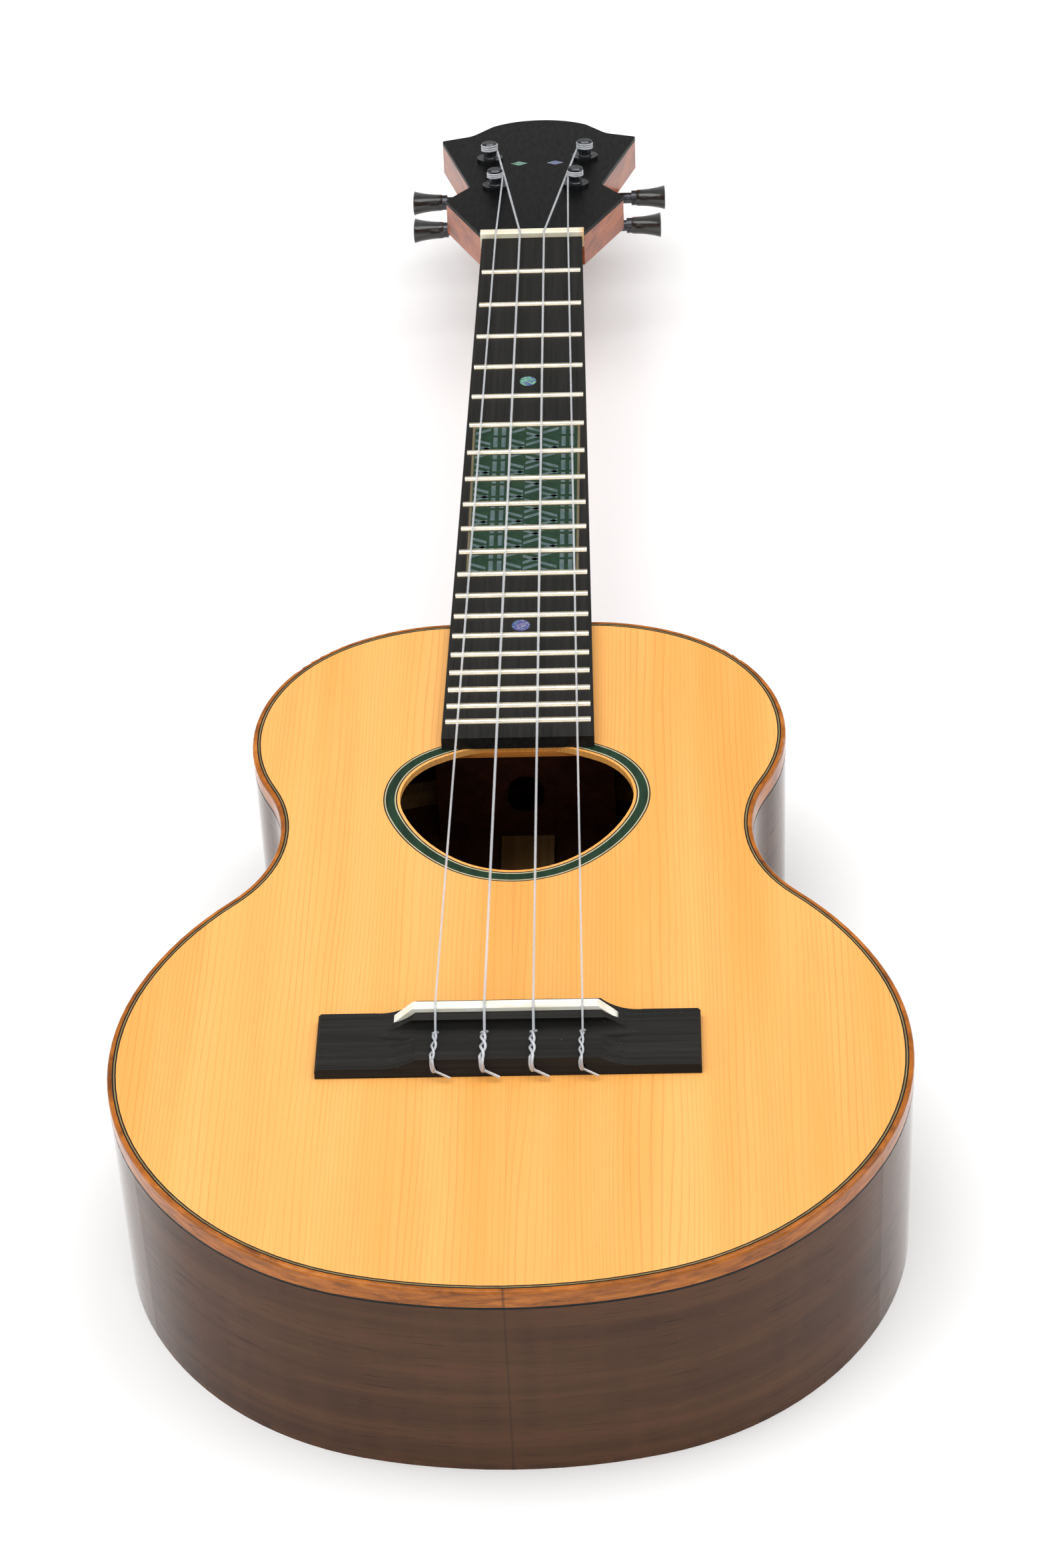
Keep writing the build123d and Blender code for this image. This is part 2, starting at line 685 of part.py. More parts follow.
def string_points(index):
    """Main run of a string: winding, nut, saddle and the hole in the tie block."""
    radius = STRING_RADII[index]
    place = index - 1.5
    side = 1 if place > 0 else -1
    post_x, along = POSTS[0] if index in (0, 3) else POSTS[1]
    wrap = POST_WAIST + WINDING_GAP + radius
    winding = head_plane(side * (post_x - wrap), along + WINDING_LAP, -WINDING_HEIGHT).origin
    saddle_x = SADDLE_PITCH * place
    hole_z = BODY_DEPTH + TIE_HOLE_HEIGHT
    return [
        (winding.X, winding.Y, winding.Z),
        (NUT_PITCH * place, NUT_Y + NUT_CREST, NUT_STRING_Z + radius),
        (saddle_x, NUT_Y - SADDLE_BEND, SADDLE_TOP + radius + JOINT_SWELL),
        (saddle_x, NUT_Y - TIE_HOLE_FRONT, hole_z),
        (saddle_x, NUT_Y - BRIDGE_REAR_REACH - 0.9, hole_z),
    ]


def tie_points(index):
    """Tied end of a string: round the rear of the block, over it and down into the trough."""
    radius = STRING_RADII[index]
    x, y, z = string_points(index)[-1]
    over_z = BODY_DEPTH + TIE_BLOCK + radius + 0.1
    side_x = x + 2 * radius + 0.1
    return [
        (x, y, z),
        (x, y - 0.5, z + 0.9),
        (x + 0.2, NUT_Y - BRIDGE_REAR_REACH + TIE_BLOCK_BEVEL - 0.1, over_z),
        (side_x, NUT_Y - TIE_HOLE_FRONT - 0.5, over_z),
        (side_x, NUT_Y - TROUGH_REACH - 0.8, over_z - 1.5),
        (x + 0.5, NUT_Y - TROUGH_REACH, over_z - 1.7),
    ]


def make_string(index, name):
    radius = STRING_RADII[index]
    place = index - 1.5
    side = 1 if place > 0 else -1
    post_x, along = POSTS[0] if index in (0, 3) else POSTS[1]
    with BuildPart() as string:
        for points in (string_points(index), tie_points(index)):
            for start, end in zip(points, points[1:]):
                direction = Vector(*end) - Vector(*start)
                with BuildSketch(Plane(origin=start, z_dir=direction)):
                    Circle(radius)
                extrude(amount=direction.length)
            with Locations(*points[1:]):
                Sphere(radius + JOINT_SWELL)
        for turn in range(3):
            with Locations(head_plane(side * post_x, along, -WINDING_HEIGHT + turn * 1.9 * radius)):
                Torus(POST_WAIST + WINDING_GAP + radius, radius)
    save(string, name)


def make_nut():
    half = NUT_WIDTH / 2
    top = NUT_STRING_Z + 0.4
    with BuildPart() as nut:
        with BuildSketch(Plane.YZ.offset(-half)):
            with BuildLine():
                Polyline(
                    (NUT_Y, BODY_DEPTH),
                    (NUT_Y + NUT_THICK, BODY_DEPTH),
                    (NUT_Y + NUT_THICK, top - 0.6),
                    (NUT_Y + NUT_CREST, top),
                    (NUT_Y, top),
                    close=True,
                )
            make_face()
        extrude(amount=NUT_WIDTH)
        for index, radius in enumerate(STRING_RADII):
            points = string_points(index)[:3]
            for start, end in zip(points, points[1:]):
                direction = Vector(*end) - Vector(*start)
                with BuildSketch(Plane(origin=start, z_dir=direction)):
                    Circle(radius + SLOT_PLAY)
                extrude(amount=direction.length, mode=Mode.SUBTRACT)
            with Locations(points[1]):
                Sphere(radius + SLOT_PLAY + JOINT_SWELL, mode=Mode.SUBTRACT)
    save(nut, "nut")


# ---- bridge and saddle ----
def scoop_face(top, dip):
    """What is cut away beyond the concave ends of a raised block: x across, y up from the soundboard."""
    end = BRIDGE_LENGTH / 2 + 1
    with BuildSketch() as face:
        with BuildLine():
            ThreePointArc((RAISED_HALF, top), dip, (SCOOP_HALF, BRIDGE_WING))
            Polyline(
                (SCOOP_HALF, BRIDGE_WING),
                (end, BRIDGE_WING),
                (end, 2 * top),
                (RAISED_HALF, 2 * top),
                (RAISED_HALF, top),
            )
        make_face()
        mirror(about=Plane.YZ)
    return face.sketch


def bridge_station(y):
    """A plane across the bridge at y, facing the tail: x across, y up from the soundboard."""
    return Plane(origin=(BRIDGE_SHIFT, y, BODY_DEPTH), x_dir=(1, 0, 0), z_dir=(0, -1, 0))


def make_bridge():
    front = NUT_Y - BRIDGE_FRONT_REACH
    rear = NUT_Y - BRIDGE_REAR_REACH
    trough = NUT_Y - TROUGH_REACH
    saddle_rear = NUT_Y - SADDLE_REACH - SADDLE_THICK / 2
    left = BRIDGE_SHIFT - BRIDGE_LENGTH / 2
    slot = Plane(origin=(BRIDGE_SHIFT, trough, BODY_DEPTH + TROUGH_HEIGHT))
    with BuildPart() as bridge:
        with BuildSketch(Plane.YZ.offset(left)):
            with BuildLine():
                Polyline(
                    (front, BODY_DEPTH),
                    (front, BODY_DEPTH + BRIDGE_LIP - 0.4),
                    (front - 0.4, BODY_DEPTH + BRIDGE_LIP),
                    (saddle_rear, BODY_DEPTH + BRIDGE_LIP - 0.6),
                    (trough + 2.7, BODY_DEPTH + BRIDGE_LIP - 1.6),
                    (trough, BODY_DEPTH + TIE_BLOCK),
                    (rear + TIE_BLOCK_BEVEL, BODY_DEPTH + TIE_BLOCK),
                    (rear, BODY_DEPTH + 0.6),
                    (rear, BODY_DEPTH),
                    close=True,
                )
            make_face()
        extrude(amount=BRIDGE_LENGTH)
        with BuildSketch(bridge_station(front)):
            add(scoop_face(BRIDGE_LIP, (31.0, 4.9)))
        extrude(amount=front - trough, mode=Mode.SUBTRACT)
        with BuildSketch(bridge_station(trough)):
            add(scoop_face(TIE_BLOCK, (31.5, 3.9)))
        extrude(amount=trough - rear, mode=Mode.SUBTRACT)
        with BuildSketch(slot):
            with BuildLine():
                Polyline(
                    (-SCOOP_HALF, 0),
                    (-SCOOP_HALF, TROUGH_HEIGHT - BRIDGE_WING),
                    (-TROUGH_STRAIGHT, TROUGH_RADIUS),
                    (TROUGH_STRAIGHT, TROUGH_RADIUS),
                    (SCOOP_HALF, TROUGH_HEIGHT - BRIDGE_WING),
                    (SCOOP_HALF, 0),
                    close=True,
                )
            make_face()
        revolve(axis=Axis(slot.origin, (1, 0, 0)), mode=Mode.SUBTRACT)
        with BuildSketch(Plane.XY.offset(BODY_DEPTH + SADDLE_SEAT)):
            with Locations((SADDLE_SHIFT, NUT_Y - SADDLE_REACH)):
                Rectangle(SADDLE_LENGTH, SADDLE_THICK)
        extrude(amount=2 * BRIDGE_LIP, mode=Mode.SUBTRACT)
        with BuildSketch(bridge_station(trough)):
            with Locations(*[(place - BRIDGE_SHIFT, TIE_HOLE_HEIGHT) for place in saddle_places()]):
                Circle(TIE_HOLE_RADIUS)
        extrude(amount=2 * (trough - rear), mode=Mode.SUBTRACT)
        ends = bridge.faces().filter_by(Axis.X)
        ends = (ends.sort_by(Axis.X)[0], ends.sort_by(Axis.X)[-1])
        corners = [edge for end in ends for edge in end.edges()]
        top_corners = [edge for edge in corners if edge.center().Z > BODY_DEPTH + BRIDGE_WING - 0.1]
        chamfer(top_corners, length=0.8)
    save(bridge, "bridge")


def make_saddle():
    base = BODY_DEPTH + SADDLE_SEAT
    half = SADDLE_LENGTH / 2
    top_half = SADDLE_TOP_LENGTH / 2
    with BuildPart() as saddle:
        with BuildSketch(Plane.XZ.offset(-NUT_Y + SADDLE_REACH - SADDLE_THICK / 2)):
            with BuildLine():
                Polyline(
                    (SADDLE_SHIFT - half, base),
                    (SADDLE_SHIFT + half, base),
                    (SADDLE_SHIFT + half, BODY_DEPTH + SADDLE_SHOULDER),
                    (SADDLE_SHIFT + top_half, SADDLE_TOP),
                    (SADDLE_SHIFT - top_half, SADDLE_TOP),
                    (SADDLE_SHIFT - half, BODY_DEPTH + SADDLE_SHOULDER),
                    close=True,
                )
            make_face()
        extrude(amount=SADDLE_THICK)
        top_edges = saddle.edges().filter_by(Axis.X).group_by(Axis.Z)[-1]
        chamfer(top_edges, length=SADDLE_EASE)
    save(saddle, "saddle")


# ---- tuners ----
def make_bushings():
    with BuildPart() as bushings:
        with BuildSketch(head_plane(depth=6)):
            with Locations(*post_locations()):
                Circle(BUSHING_SLEEVE)
        extrude(amount=6)
        with BuildSketch(head_plane()):
            with Locations(*post_locations()):
                Circle(BUSHING_FLANGE)
        extrude(amount=1.2)
        with BuildSketch(head_plane(depth=6)):
            with Locations(*post_locations()):
                Circle(POST_RADIUS + RUNNING_GAP)
        extrude(amount=8, mode=Mode.SUBTRACT)
    save(bushings, "tuner_bushings")


def make_tuner_plates():
    with BuildPart() as plates:
        with BuildSketch(head_plane(depth=HEAD_THICK + PLATE_THICK)):
            for x, along in post_locations():
                with Locations((x, along + 3.2)):
                    RectangleRounded(15, 27, 3)
        extrude(amount=PLATE_THICK)
        for x, along in post_locations():
            for offset in (-LUG_OFFSET - LUG_THICK, LUG_OFFSET):
                with BuildSketch(shaft_plane(along, x + offset)):
                    Circle(2.9)
                    with Locations((0, (WORM_DEPTH - HEAD_THICK - PLATE_THICK) / 2)):
                        Rectangle(5.8, WORM_DEPTH - HEAD_THICK - PLATE_THICK)
                extrude(amount=LUG_THICK)
                with BuildSketch(shaft_plane(along, x + offset)):
                    Circle(SHAFT_RADIUS + RUNNING_GAP)
                extrude(amount=LUG_THICK, mode=Mode.SUBTRACT)
        with BuildSketch(head_plane(depth=HEAD_THICK + PLATE_THICK)):
            with Locations(*post_locations()):
                Circle(POST_RADIUS + RUNNING_GAP)
            with Locations(*screw_locations()):
                Circle(1.2)
        extrude(amount=PLATE_THICK, mode=Mode.SUBTRACT)
    save(plates, "tuner_plates")


def make_tuner_screws():
    with BuildPart() as screws:
        with BuildSketch(head_plane(depth=HEAD_THICK + PLATE_THICK)):
            with Locations(*screw_locations()):
                Circle(1.2)
        extrude(amount=PLATE_THICK + 7)
        with BuildSketch(head_plane(depth=HEAD_THICK + PLATE_THICK + 1.2)):
            with Locations(*screw_locations()):
                Circle(2.1)
        extrude(amount=1.2)
        with BuildSketch(head_plane(depth=HEAD_THICK + PLATE_THICK + 1.2)):
            with Locations(*screw_locations()):
                Rectangle(5, 0.5)
        extrude(amount=0.6, mode=Mode.SUBTRACT)
    save(screws, "tuner_screws")


def make_post(x, along):
    """Post: seat for the gear, running length, waist for the string and a flanged top."""
    gear_top = WORM_DEPTH - GEAR_THICK / 2
    gear_bottom = WORM_DEPTH + GEAR_THICK / 2
    across = Plane(origin=head_plane(x, along).origin, x_dir=(1, 0, 0), z_dir=(0, -TILT_COS, TILT_SIN))
    normal = Axis(head_plane(x, along).origin, (0, TILT_SIN, TILT_COS))
    with BuildPart() as post:
        with BuildSketch(across):
            with BuildLine():
                Polyline(
                    (1.0, -gear_bottom + 4),
                    (1.0, -gear_bottom),
                    (2.0, -gear_bottom),
                    (2.0, -gear_top),
                    (POST_RADIUS, -gear_top),
                    (POST_RADIUS, 1.3),
                    (POST_WAIST, 1.7),
                    (POST_WAIST, 5.8),
                    (POST_RADIUS, 6.3),
                    (POST_RADIUS, POST_TOP - 0.5),
                    (POST_RADIUS - 0.5, POST_TOP),
                    (0, POST_TOP),
                    (0, -gear_bottom + 4),
                    close=True,
                )
            make_face()
        revolve(axis=normal)
        with BuildSketch(across.offset(-4)):
            with Locations((0, WINDING_HEIGHT + 0.8)):
                Circle(0.6)
        extrude(amount=8, mode=Mode.SUBTRACT)
    return post


def make_gear(x, along):
    """Fourteen-tooth wheel with one tooth pointing at the worm."""
    with BuildPart() as gear:
        with BuildSketch(head_plane(x, along, WORM_DEPTH + GEAR_THICK / 2)):
            Circle(GEAR_ROOT)
            with PolarLocations(0, GEAR_TEETH, start_angle=90):
                with BuildLine():
                    Polyline(
                        (GEAR_ROOT - 0.4, -0.6),
                        (GEAR_ROOT, -0.6),
                        (GEAR_OUTER, -0.2),
                        (GEAR_OUTER, 0.2),
                        (GEAR_ROOT, 0.6),
                        (GEAR_ROOT - 0.4, 0.6),
                        close=True,
                    )
                make_face()
            Circle(2.0, mode=Mode.SUBTRACT)
        extrude(amount=GEAR_THICK)
    return gear


def make_gear_screw(x, along):
    depth = WORM_DEPTH + GEAR_THICK / 2
    with BuildPart() as screw:
        with BuildSketch(head_plane(x, along, depth + 1.3)):
            Circle(2.5)
        extrude(amount=1.3)
        with BuildSketch(head_plane(x, along, depth)):
            Circle(1.0)
        extrude(amount=4)
        with BuildSketch(head_plane(x, along, depth + 1.3)):
            Rectangle(6, 0.6)
        extrude(amount=0.7, mode=Mode.SUBTRACT)
    return screw


def make_worm(x, along):
    """Worm shaft: inner cap, threaded middle, plain run, collar and the end inside the button."""
    start = shaft_plane(along, x - LUG_OFFSET - LUG_THICK)
    cap = 0.9
    run = BUTTON_STARTS[x] - (x + LUG_OFFSET + LUG_THICK)
    with BuildPart() as worm:
        with BuildSketch(start.offset(-0.1 - cap)):
            Circle(2.3)
        extrude(amount=cap)
        with BuildSketch(start.offset(-0.1)):
            Circle(SHAFT_RADIUS)
        extrude(amount=0.1 + 2 * (LUG_OFFSET + LUG_THICK) + run + 8)
        with BuildSketch(start.offset(LUG_THICK + 0.1)):
            Circle(WORM_CORE)
        extrude(amount=2 * LUG_OFFSET - 0.2)
        with BuildSketch(start.offset(2 * (LUG_OFFSET + LUG_THICK) + 0.1)):
            Circle(2.2)
        extrude(amount=run - 2.1)
        with BuildSketch(start.offset(2 * (LUG_OFFSET + LUG_THICK) + run - 2)):
            Circle(3.0)
        extrude(amount=2)
        add(worm_thread(x, along))
    return worm


def worm_thread(x, along):
    """Three turns of trapezoidal thread centred on the gear."""
    centre = shaft_plane(along, x)
    toward_gear = Plane(origin=centre.origin, x_dir=(0, -TILT_COS, TILT_SIN), z_dir=(1, 0, 0))
    begin = toward_gear.offset(-1.5 * WORM_PITCH)
    mean = (WORM_CORE + WORM_OUTER) / 2
    with BuildPart() as thread:
        with BuildLine() as path:
            Helix(WORM_PITCH, 3 * WORM_PITCH, mean)
        with BuildSketch(Plane(origin=path.line @ 0, x_dir=(1, 0, 0), z_dir=path.line % 0)):
            with BuildLine():
                Polyline(
                    (WORM_CORE - 0.15 - mean, -0.58),
                    (WORM_OUTER - mean, -0.25),
                    (WORM_OUTER - mean, 0.25),
                    (WORM_CORE - 0.15 - mean, 0.58),
                    close=True,
                )
            make_face()
        sweep(path=path.line, is_frenet=True)
    return begin * thread.part


def button_section(half_wide, half_thick):
    with BuildSketch() as face:
        Ellipse(half_wide, half_thick)
    return face.sketch


def make_button(x, along):
    """Flared oval button on the end of the worm shaft."""
    start = shaft_plane(along, BUTTON_STARTS[x])
    with BuildPart() as button:
        for station, half_wide, half_thick in BUTTON_STATIONS:
            with BuildSketch(start.offset(station * BUTTON_LENGTH)):
                add(button_section(half_wide, half_thick))
        loft()
        with BuildSketch(start):
            Circle(SHAFT_RADIUS)
        extrude(amount=8, mode=Mode.SUBTRACT)
    return button


def make_tuners():
    makers = (("post", make_post), ("gear", make_gear), ("gear_screw", make_gear_screw), ("worm", make_worm))
    makers += (("button", make_button),)
    for (x, along), row in zip(POSTS, ("lower", "upper")):
        for piece, maker in makers:
            right = maker(x, along)
            save(right, piece + "_" + row + "_right")
            with BuildPart() as left:
                mirror(right.part, about=Plane.YZ)
            save(left, piece + "_" + row + "_left")


make_soundboard()
make_rosette()
make_doubler()
make_back()
make_side("side_bass", Keep.BOTTOM)
make_side("side_treble", Keep.TOP)
make_linings("top_linings", TOP_UNDER - LINING_HEIGHT)
make_linings("back_linings", BACK_THICK)
make_head_block()
make_tail_block()
make_binding()
make_purfling()
make_top_braces()
make_back_braces()
make_neck()
make_neck_bolts()
make_head_plate()
make_head_inlays()
make_fretboard()
make_board_inlays()
make_frets()
make_nut()
make_bridge()
make_saddle()
for string_index, string_name in enumerate(("string_g", "string_c", "string_e", "string_a")):
    make_string(string_index, string_name)
make_bushings()
make_tuner_plates()
make_tuner_screws()
make_tuners()
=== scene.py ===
import json
import math

import bmesh
import bpy
from mathutils import Matrix, Vector


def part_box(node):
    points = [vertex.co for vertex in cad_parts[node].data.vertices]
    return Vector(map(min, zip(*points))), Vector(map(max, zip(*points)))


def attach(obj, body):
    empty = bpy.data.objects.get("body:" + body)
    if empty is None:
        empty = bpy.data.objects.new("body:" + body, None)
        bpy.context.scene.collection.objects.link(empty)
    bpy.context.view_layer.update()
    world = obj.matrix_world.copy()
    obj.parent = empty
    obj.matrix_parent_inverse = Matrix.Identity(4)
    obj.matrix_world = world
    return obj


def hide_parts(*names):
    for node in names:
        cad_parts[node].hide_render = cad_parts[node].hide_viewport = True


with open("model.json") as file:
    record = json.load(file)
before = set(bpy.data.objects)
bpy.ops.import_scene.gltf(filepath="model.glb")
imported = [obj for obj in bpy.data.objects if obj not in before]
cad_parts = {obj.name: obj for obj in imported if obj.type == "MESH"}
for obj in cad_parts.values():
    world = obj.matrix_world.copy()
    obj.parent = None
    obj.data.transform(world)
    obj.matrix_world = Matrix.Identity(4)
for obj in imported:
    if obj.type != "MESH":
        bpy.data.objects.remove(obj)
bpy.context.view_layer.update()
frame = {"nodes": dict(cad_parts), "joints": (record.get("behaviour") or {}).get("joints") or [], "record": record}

MM = 0.001
NUT_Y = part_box("nut")[0].y
BOARD_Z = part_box("fretboard")[1].z
TOP_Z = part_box("fretboard")[0].z


# ---------------------------------------------------------------- camera, floor and light
def place_camera():
    right = Vector((0.99908, 0.01723, -0.03917)).normalized()
    ahead = Vector((-0.03823, 0.77060, -0.63617))
    ahead = (ahead - right * ahead.dot(right)).normalized()
    up = right.cross(ahead)
    data = bpy.data.cameras.new("camera")
    data.lens = 87.47
    data.sensor_width = 36
    data.clip_start = 0.01
    data.clip_end = 100
    camera = bpy.data.objects.new("camera", data)
    bpy.context.scene.collection.objects.link(camera)
    place = Vector((0.04801, NUT_Y - 1.25545, 0.84401))
    camera.matrix_world = Matrix(
        (
            (right.x, up.x, -ahead.x, place.x),
            (right.y, up.y, -ahead.y, place.y),
            (right.z, up.z, -ahead.z, place.z),
            (0, 0, 0, 1),
        )
    )
    bpy.context.scene.camera = camera


def area_light(name, place, target, size, power, colour=(1, 1, 1)):
    data = bpy.data.lights.new(name, "AREA")
    data.shape = "RECTANGLE"
    data.size, data.size_y = size
    data.energy = power
    data.color = colour
    lamp = bpy.data.objects.new(name, data)
    lamp.location = place
    lamp.rotation_euler = (Vector(target) - Vector(place)).to_track_quat("-Z", "Y").to_euler()
    bpy.context.scene.collection.objects.link(lamp)


def build_stage():
    world = bpy.data.worlds.new("studio")
    bpy.context.scene.world = world
    world.use_nodes = True
    background = world.node_tree.nodes["Background"]
    background.inputs["Color"].default_value = (1, 1, 1, 1)
    background.inputs["Strength"].default_value = 0.46
    area_light("overhead_left", (-0.7, -0.3, 1.9), (0, -0.1, 0), (1.5, 1.6), 24)
    area_light("overhead_right", (0.8, 0.1, 1.8), (0, -0.1, 0), (1.3, 1.5), 18)
    area_light("front_fill", (0.1, -2.0, 1.0), (0, -0.3, 0.03), (2.2, 1.2), 8)
    area_light("left_wall", (-1.7, -0.2, 0.7), (0, -0.2, 0.05), (1.6, 1.0), 6)
    area_light("right_wall", (1.7, -0.1, 0.7), (0, -0.2, 0.05), (1.6, 1.0), 4)
    bpy.ops.mesh.primitive_plane_add(size=12)
    floor = bpy.context.object
    floor.name = "floor"
    paper = Paint("paper", roughness=0.9, specular=0.1)
    cloud = paper.noise((0.01, 0.01, 0.01), 1.0, 2)
    tone = paper.ramp(cloud, ((0.3, (0.94, 0.94, 0.94)), (0.7, (0.96, 0.96, 0.96))))
    paper.to("Base Color", tone)
    floor.data.materials.append(paper.material)
    view = bpy.context.scene.view_settings
    view.view_transform = "Standard"
    view.look = "None"
    view.exposure = 0.0


# ---------------------------------------------------------------- node graphs, in millimetres
class Paint:
    """A Principled material whose texture space is the CAD frame in millimetres."""

    def __init__(self, name, **constants):
        self.material = bpy.data.materials.new(name)
        self.material.use_nodes = True
        self.tree = self.material.node_tree
        self.tree.nodes.clear()
        output = self.node("ShaderNodeOutputMaterial")
        self.shader = self.node("ShaderNodeBsdfPrincipled")
        self.link(self.shader.outputs[0], output.inputs["Surface"])
        names = {
            "roughness": "Roughness",
            "metallic": "Metallic",
            "coat": "Coat Weight",
            "coat_roughness": "Coat Roughness",
            "specular": "Specular IOR Level",
            "transmission": "Transmission Weight",
            "ior": "IOR",
            "subsurface": "Subsurface Weight",
        }
        for key, value in constants.items():
            self.shader.inputs[names[key]].default_value = value
        coordinates = self.node("ShaderNodeTexCoord")
        scale = self.node("ShaderNodeVectorMath", operation="SCALE")
        self.link(coordinates.outputs["Object"], scale.inputs[0])
        scale.inputs["Scale"].default_value = 1000
        self.space = scale.outputs[0]
        split = self.node("ShaderNodeSeparateXYZ")
        self.link(self.space, split.inputs[0])
        self.x, self.y, self.z = split.outputs

    def node(self, kind, **settings):
        made = self.tree.nodes.new(kind)
        for key, value in settings.items():
            setattr(made, key, value)
        return made

    def link(self, source, target):
        self.tree.links.new(source, target)

    def put(self, value, target):
        if isinstance(value, bpy.types.NodeSocket):
            self.link(value, target)
        elif isinstance(value, tuple) and len(value) == 3 and target.type == "RGBA":
            target.default_value = (*value, 1)
        else:
            target.default_value = value

    def to(self, name, value):
        self.put(value, self.shader.inputs[name])

    def math(self, operation, *values):
        made = self.node("ShaderNodeMath", operation=operation)
        for value, target in zip(values, made.inputs):
            self.put(value, target)
        return made.outputs[0]

    def vector(self, x, y, z):
        made = self.node("ShaderNodeCombineXYZ")
        for value, target in zip((x, y, z), made.inputs):
            self.put(value, target)
        return made.outputs[0]

    def stretched(self, scale, space=None):
        made = self.node("ShaderNodeVectorMath", operation="MULTIPLY")
        self.link(space or self.space, made.inputs[0])
        made.inputs[1].default_value = scale
        return made.outputs[0]

    def noise(self, stretch, scale, detail=3.0, rough=0.5, warp=0.0, space=None):
        made = self.node("ShaderNodeTexNoise")
        self.link(self.stretched(stretch, space), made.inputs["Vector"])
        made.inputs["Scale"].default_value = scale
        made.inputs["Detail"].default_value = detail
        made.inputs["Roughness"].default_value = rough
        made.inputs["Distortion"].default_value = warp
        return made.outputs[0]

    def cells(self, scale):
        made = self.node("ShaderNodeTexVoronoi")
        self.link(self.stretched((1, 1, 1)), made.inputs["Vector"])
        made.inputs["Scale"].default_value = scale
        return made

    def ramp(self, factor, stops):
        made = self.node("ShaderNodeValToRGB")
        self.link(factor, made.inputs[0])
        band = made.color_ramp
        band.elements[0].position, band.elements[0].color = stops[0][0], (*stops[0][1], 1)
        band.elements[1].position, band.elements[1].color = stops[-1][0], (*stops[-1][1], 1)
        for position, colour in stops[1:-1]:
            band.elements.new(position).color = (*colour, 1)
        return made.outputs[0]

    def span(self, factor, low, high, new_low=0.0, new_high=1.0):
        made = self.node("ShaderNodeMapRange")
        for value, target in zip((factor, low, high, new_low, new_high), made.inputs):
            self.put(value, target)
        return made.outputs[0]

    def mix(self, factor, first, second):
        """A blend of two colours; the mix node's colour sockets are numbers 6 and 7, and 2 on the way out."""
        made = self.node("ShaderNodeMix", data_type="RGBA")
        self.put(factor, made.inputs[0])
        self.put(first, made.inputs[6])
        self.put(second, made.inputs[7])
        return made.outputs[2]

    def grazing_coat(self, facing, glancing):
        """Lacquer that is quiet seen square on and bright along the edge of a curve."""
        weight = self.node("ShaderNodeLayerWeight")
        weight.inputs["Blend"].default_value = 0.5
        self.to("Coat Weight", self.span(weight.outputs["Facing"], 0.6, 0.97, facing, glancing))

    def bump(self, height, strength, distance):
        made = self.node("ShaderNodeBump")
        made.inputs["Strength"].default_value = strength
        made.inputs["Distance"].default_value = distance
        self.link(height, made.inputs["Height"])
        self.link(made.outputs[0], self.shader.inputs["Normal"])


def srgb(red, green, blue):
    """Linear colour from 0-255 display values."""
    values = (red, green, blue)
    return tuple((v / 255 / 12.92) if v <= 10 else ((v / 255 + 0.055) / 1.055) ** 2.4 for v in values)


# ---------------------------------------------------------------- woods
GRAIN_PERIOD = 1.6


def spruce_top():
    """Bookmatched softwood: fine lengthwise lines mirrored on the centre seam, silky variation."""
    p = Paint("spruce", roughness=0.42, coat=0.3, coat_roughness=0.16)
    mirrored = p.math("ABSOLUTE", p.x)
    slow = p.noise((0.03, 0.004, 0.03), 1.0, 2)
    warped = p.math("ADD", mirrored, p.math("MULTIPLY", slow, 9.0))
    spacing = p.noise((0.045, 0.0006, 0.0), 1.0, 1)
    across = p.math("ADD", warped, p.math("MULTIPLY", spacing, 14.0))
    phase = p.math("FRACT", p.math("DIVIDE", across, GRAIN_PERIOD))
    line = p.span(phase, 0.64, 0.97)
    closing = p.span(phase, 0.985, 1.0, 1.0, 0.0)
    line = p.math("MULTIPLY", p.math("POWER", line, 2.2), closing)
    strength = p.span(p.noise((0.09, 0.006, 0.0), 1.0, 3, 0.6), 0.34, 0.66, 0.2, 0.62)
    grain = p.math("MULTIPLY", line, strength)
    tone = p.noise((0.035, 0.0022, 0.02), 1.0, 3, 0.55)
    base = p.ramp(tone, ((0.3, srgb(230, 158, 70)), (0.52, srgb(238, 172, 90)), (0.75, srgb(242, 177, 101))))
    silk = p.span(p.noise((0.02, 0.6, 0.02), 1.0, 3, 0.6), 0.35, 0.7, 0.0, 0.055)
    base = p.mix(silk, base, srgb(222, 152, 72))
    fibre = p.span(p.noise((2.4, 0.05, 2.4), 1.0, 3, 0.6), 0.4, 0.75, 0.0, 0.16)
    base = p.mix(fibre, base, srgb(208, 138, 62))
    seam = p.span(mirrored, 0.0, 0.35, 0.22, 0.0)
    colour = p.mix(grain, base, srgb(186, 118, 48))
    colour = p.mix(seam, colour, srgb(176, 108, 44))
    p.to("Base Color", colour)
    p.to("Roughness", p.span(grain, 0.0, 0.5, 0.40, 0.50))
    p.bump(p.math("ADD", p.math("MULTIPLY", grain, -1.0), p.math("MULTIPLY", fibre, 0.4)), 0.12, 0.00012)
    return p.material


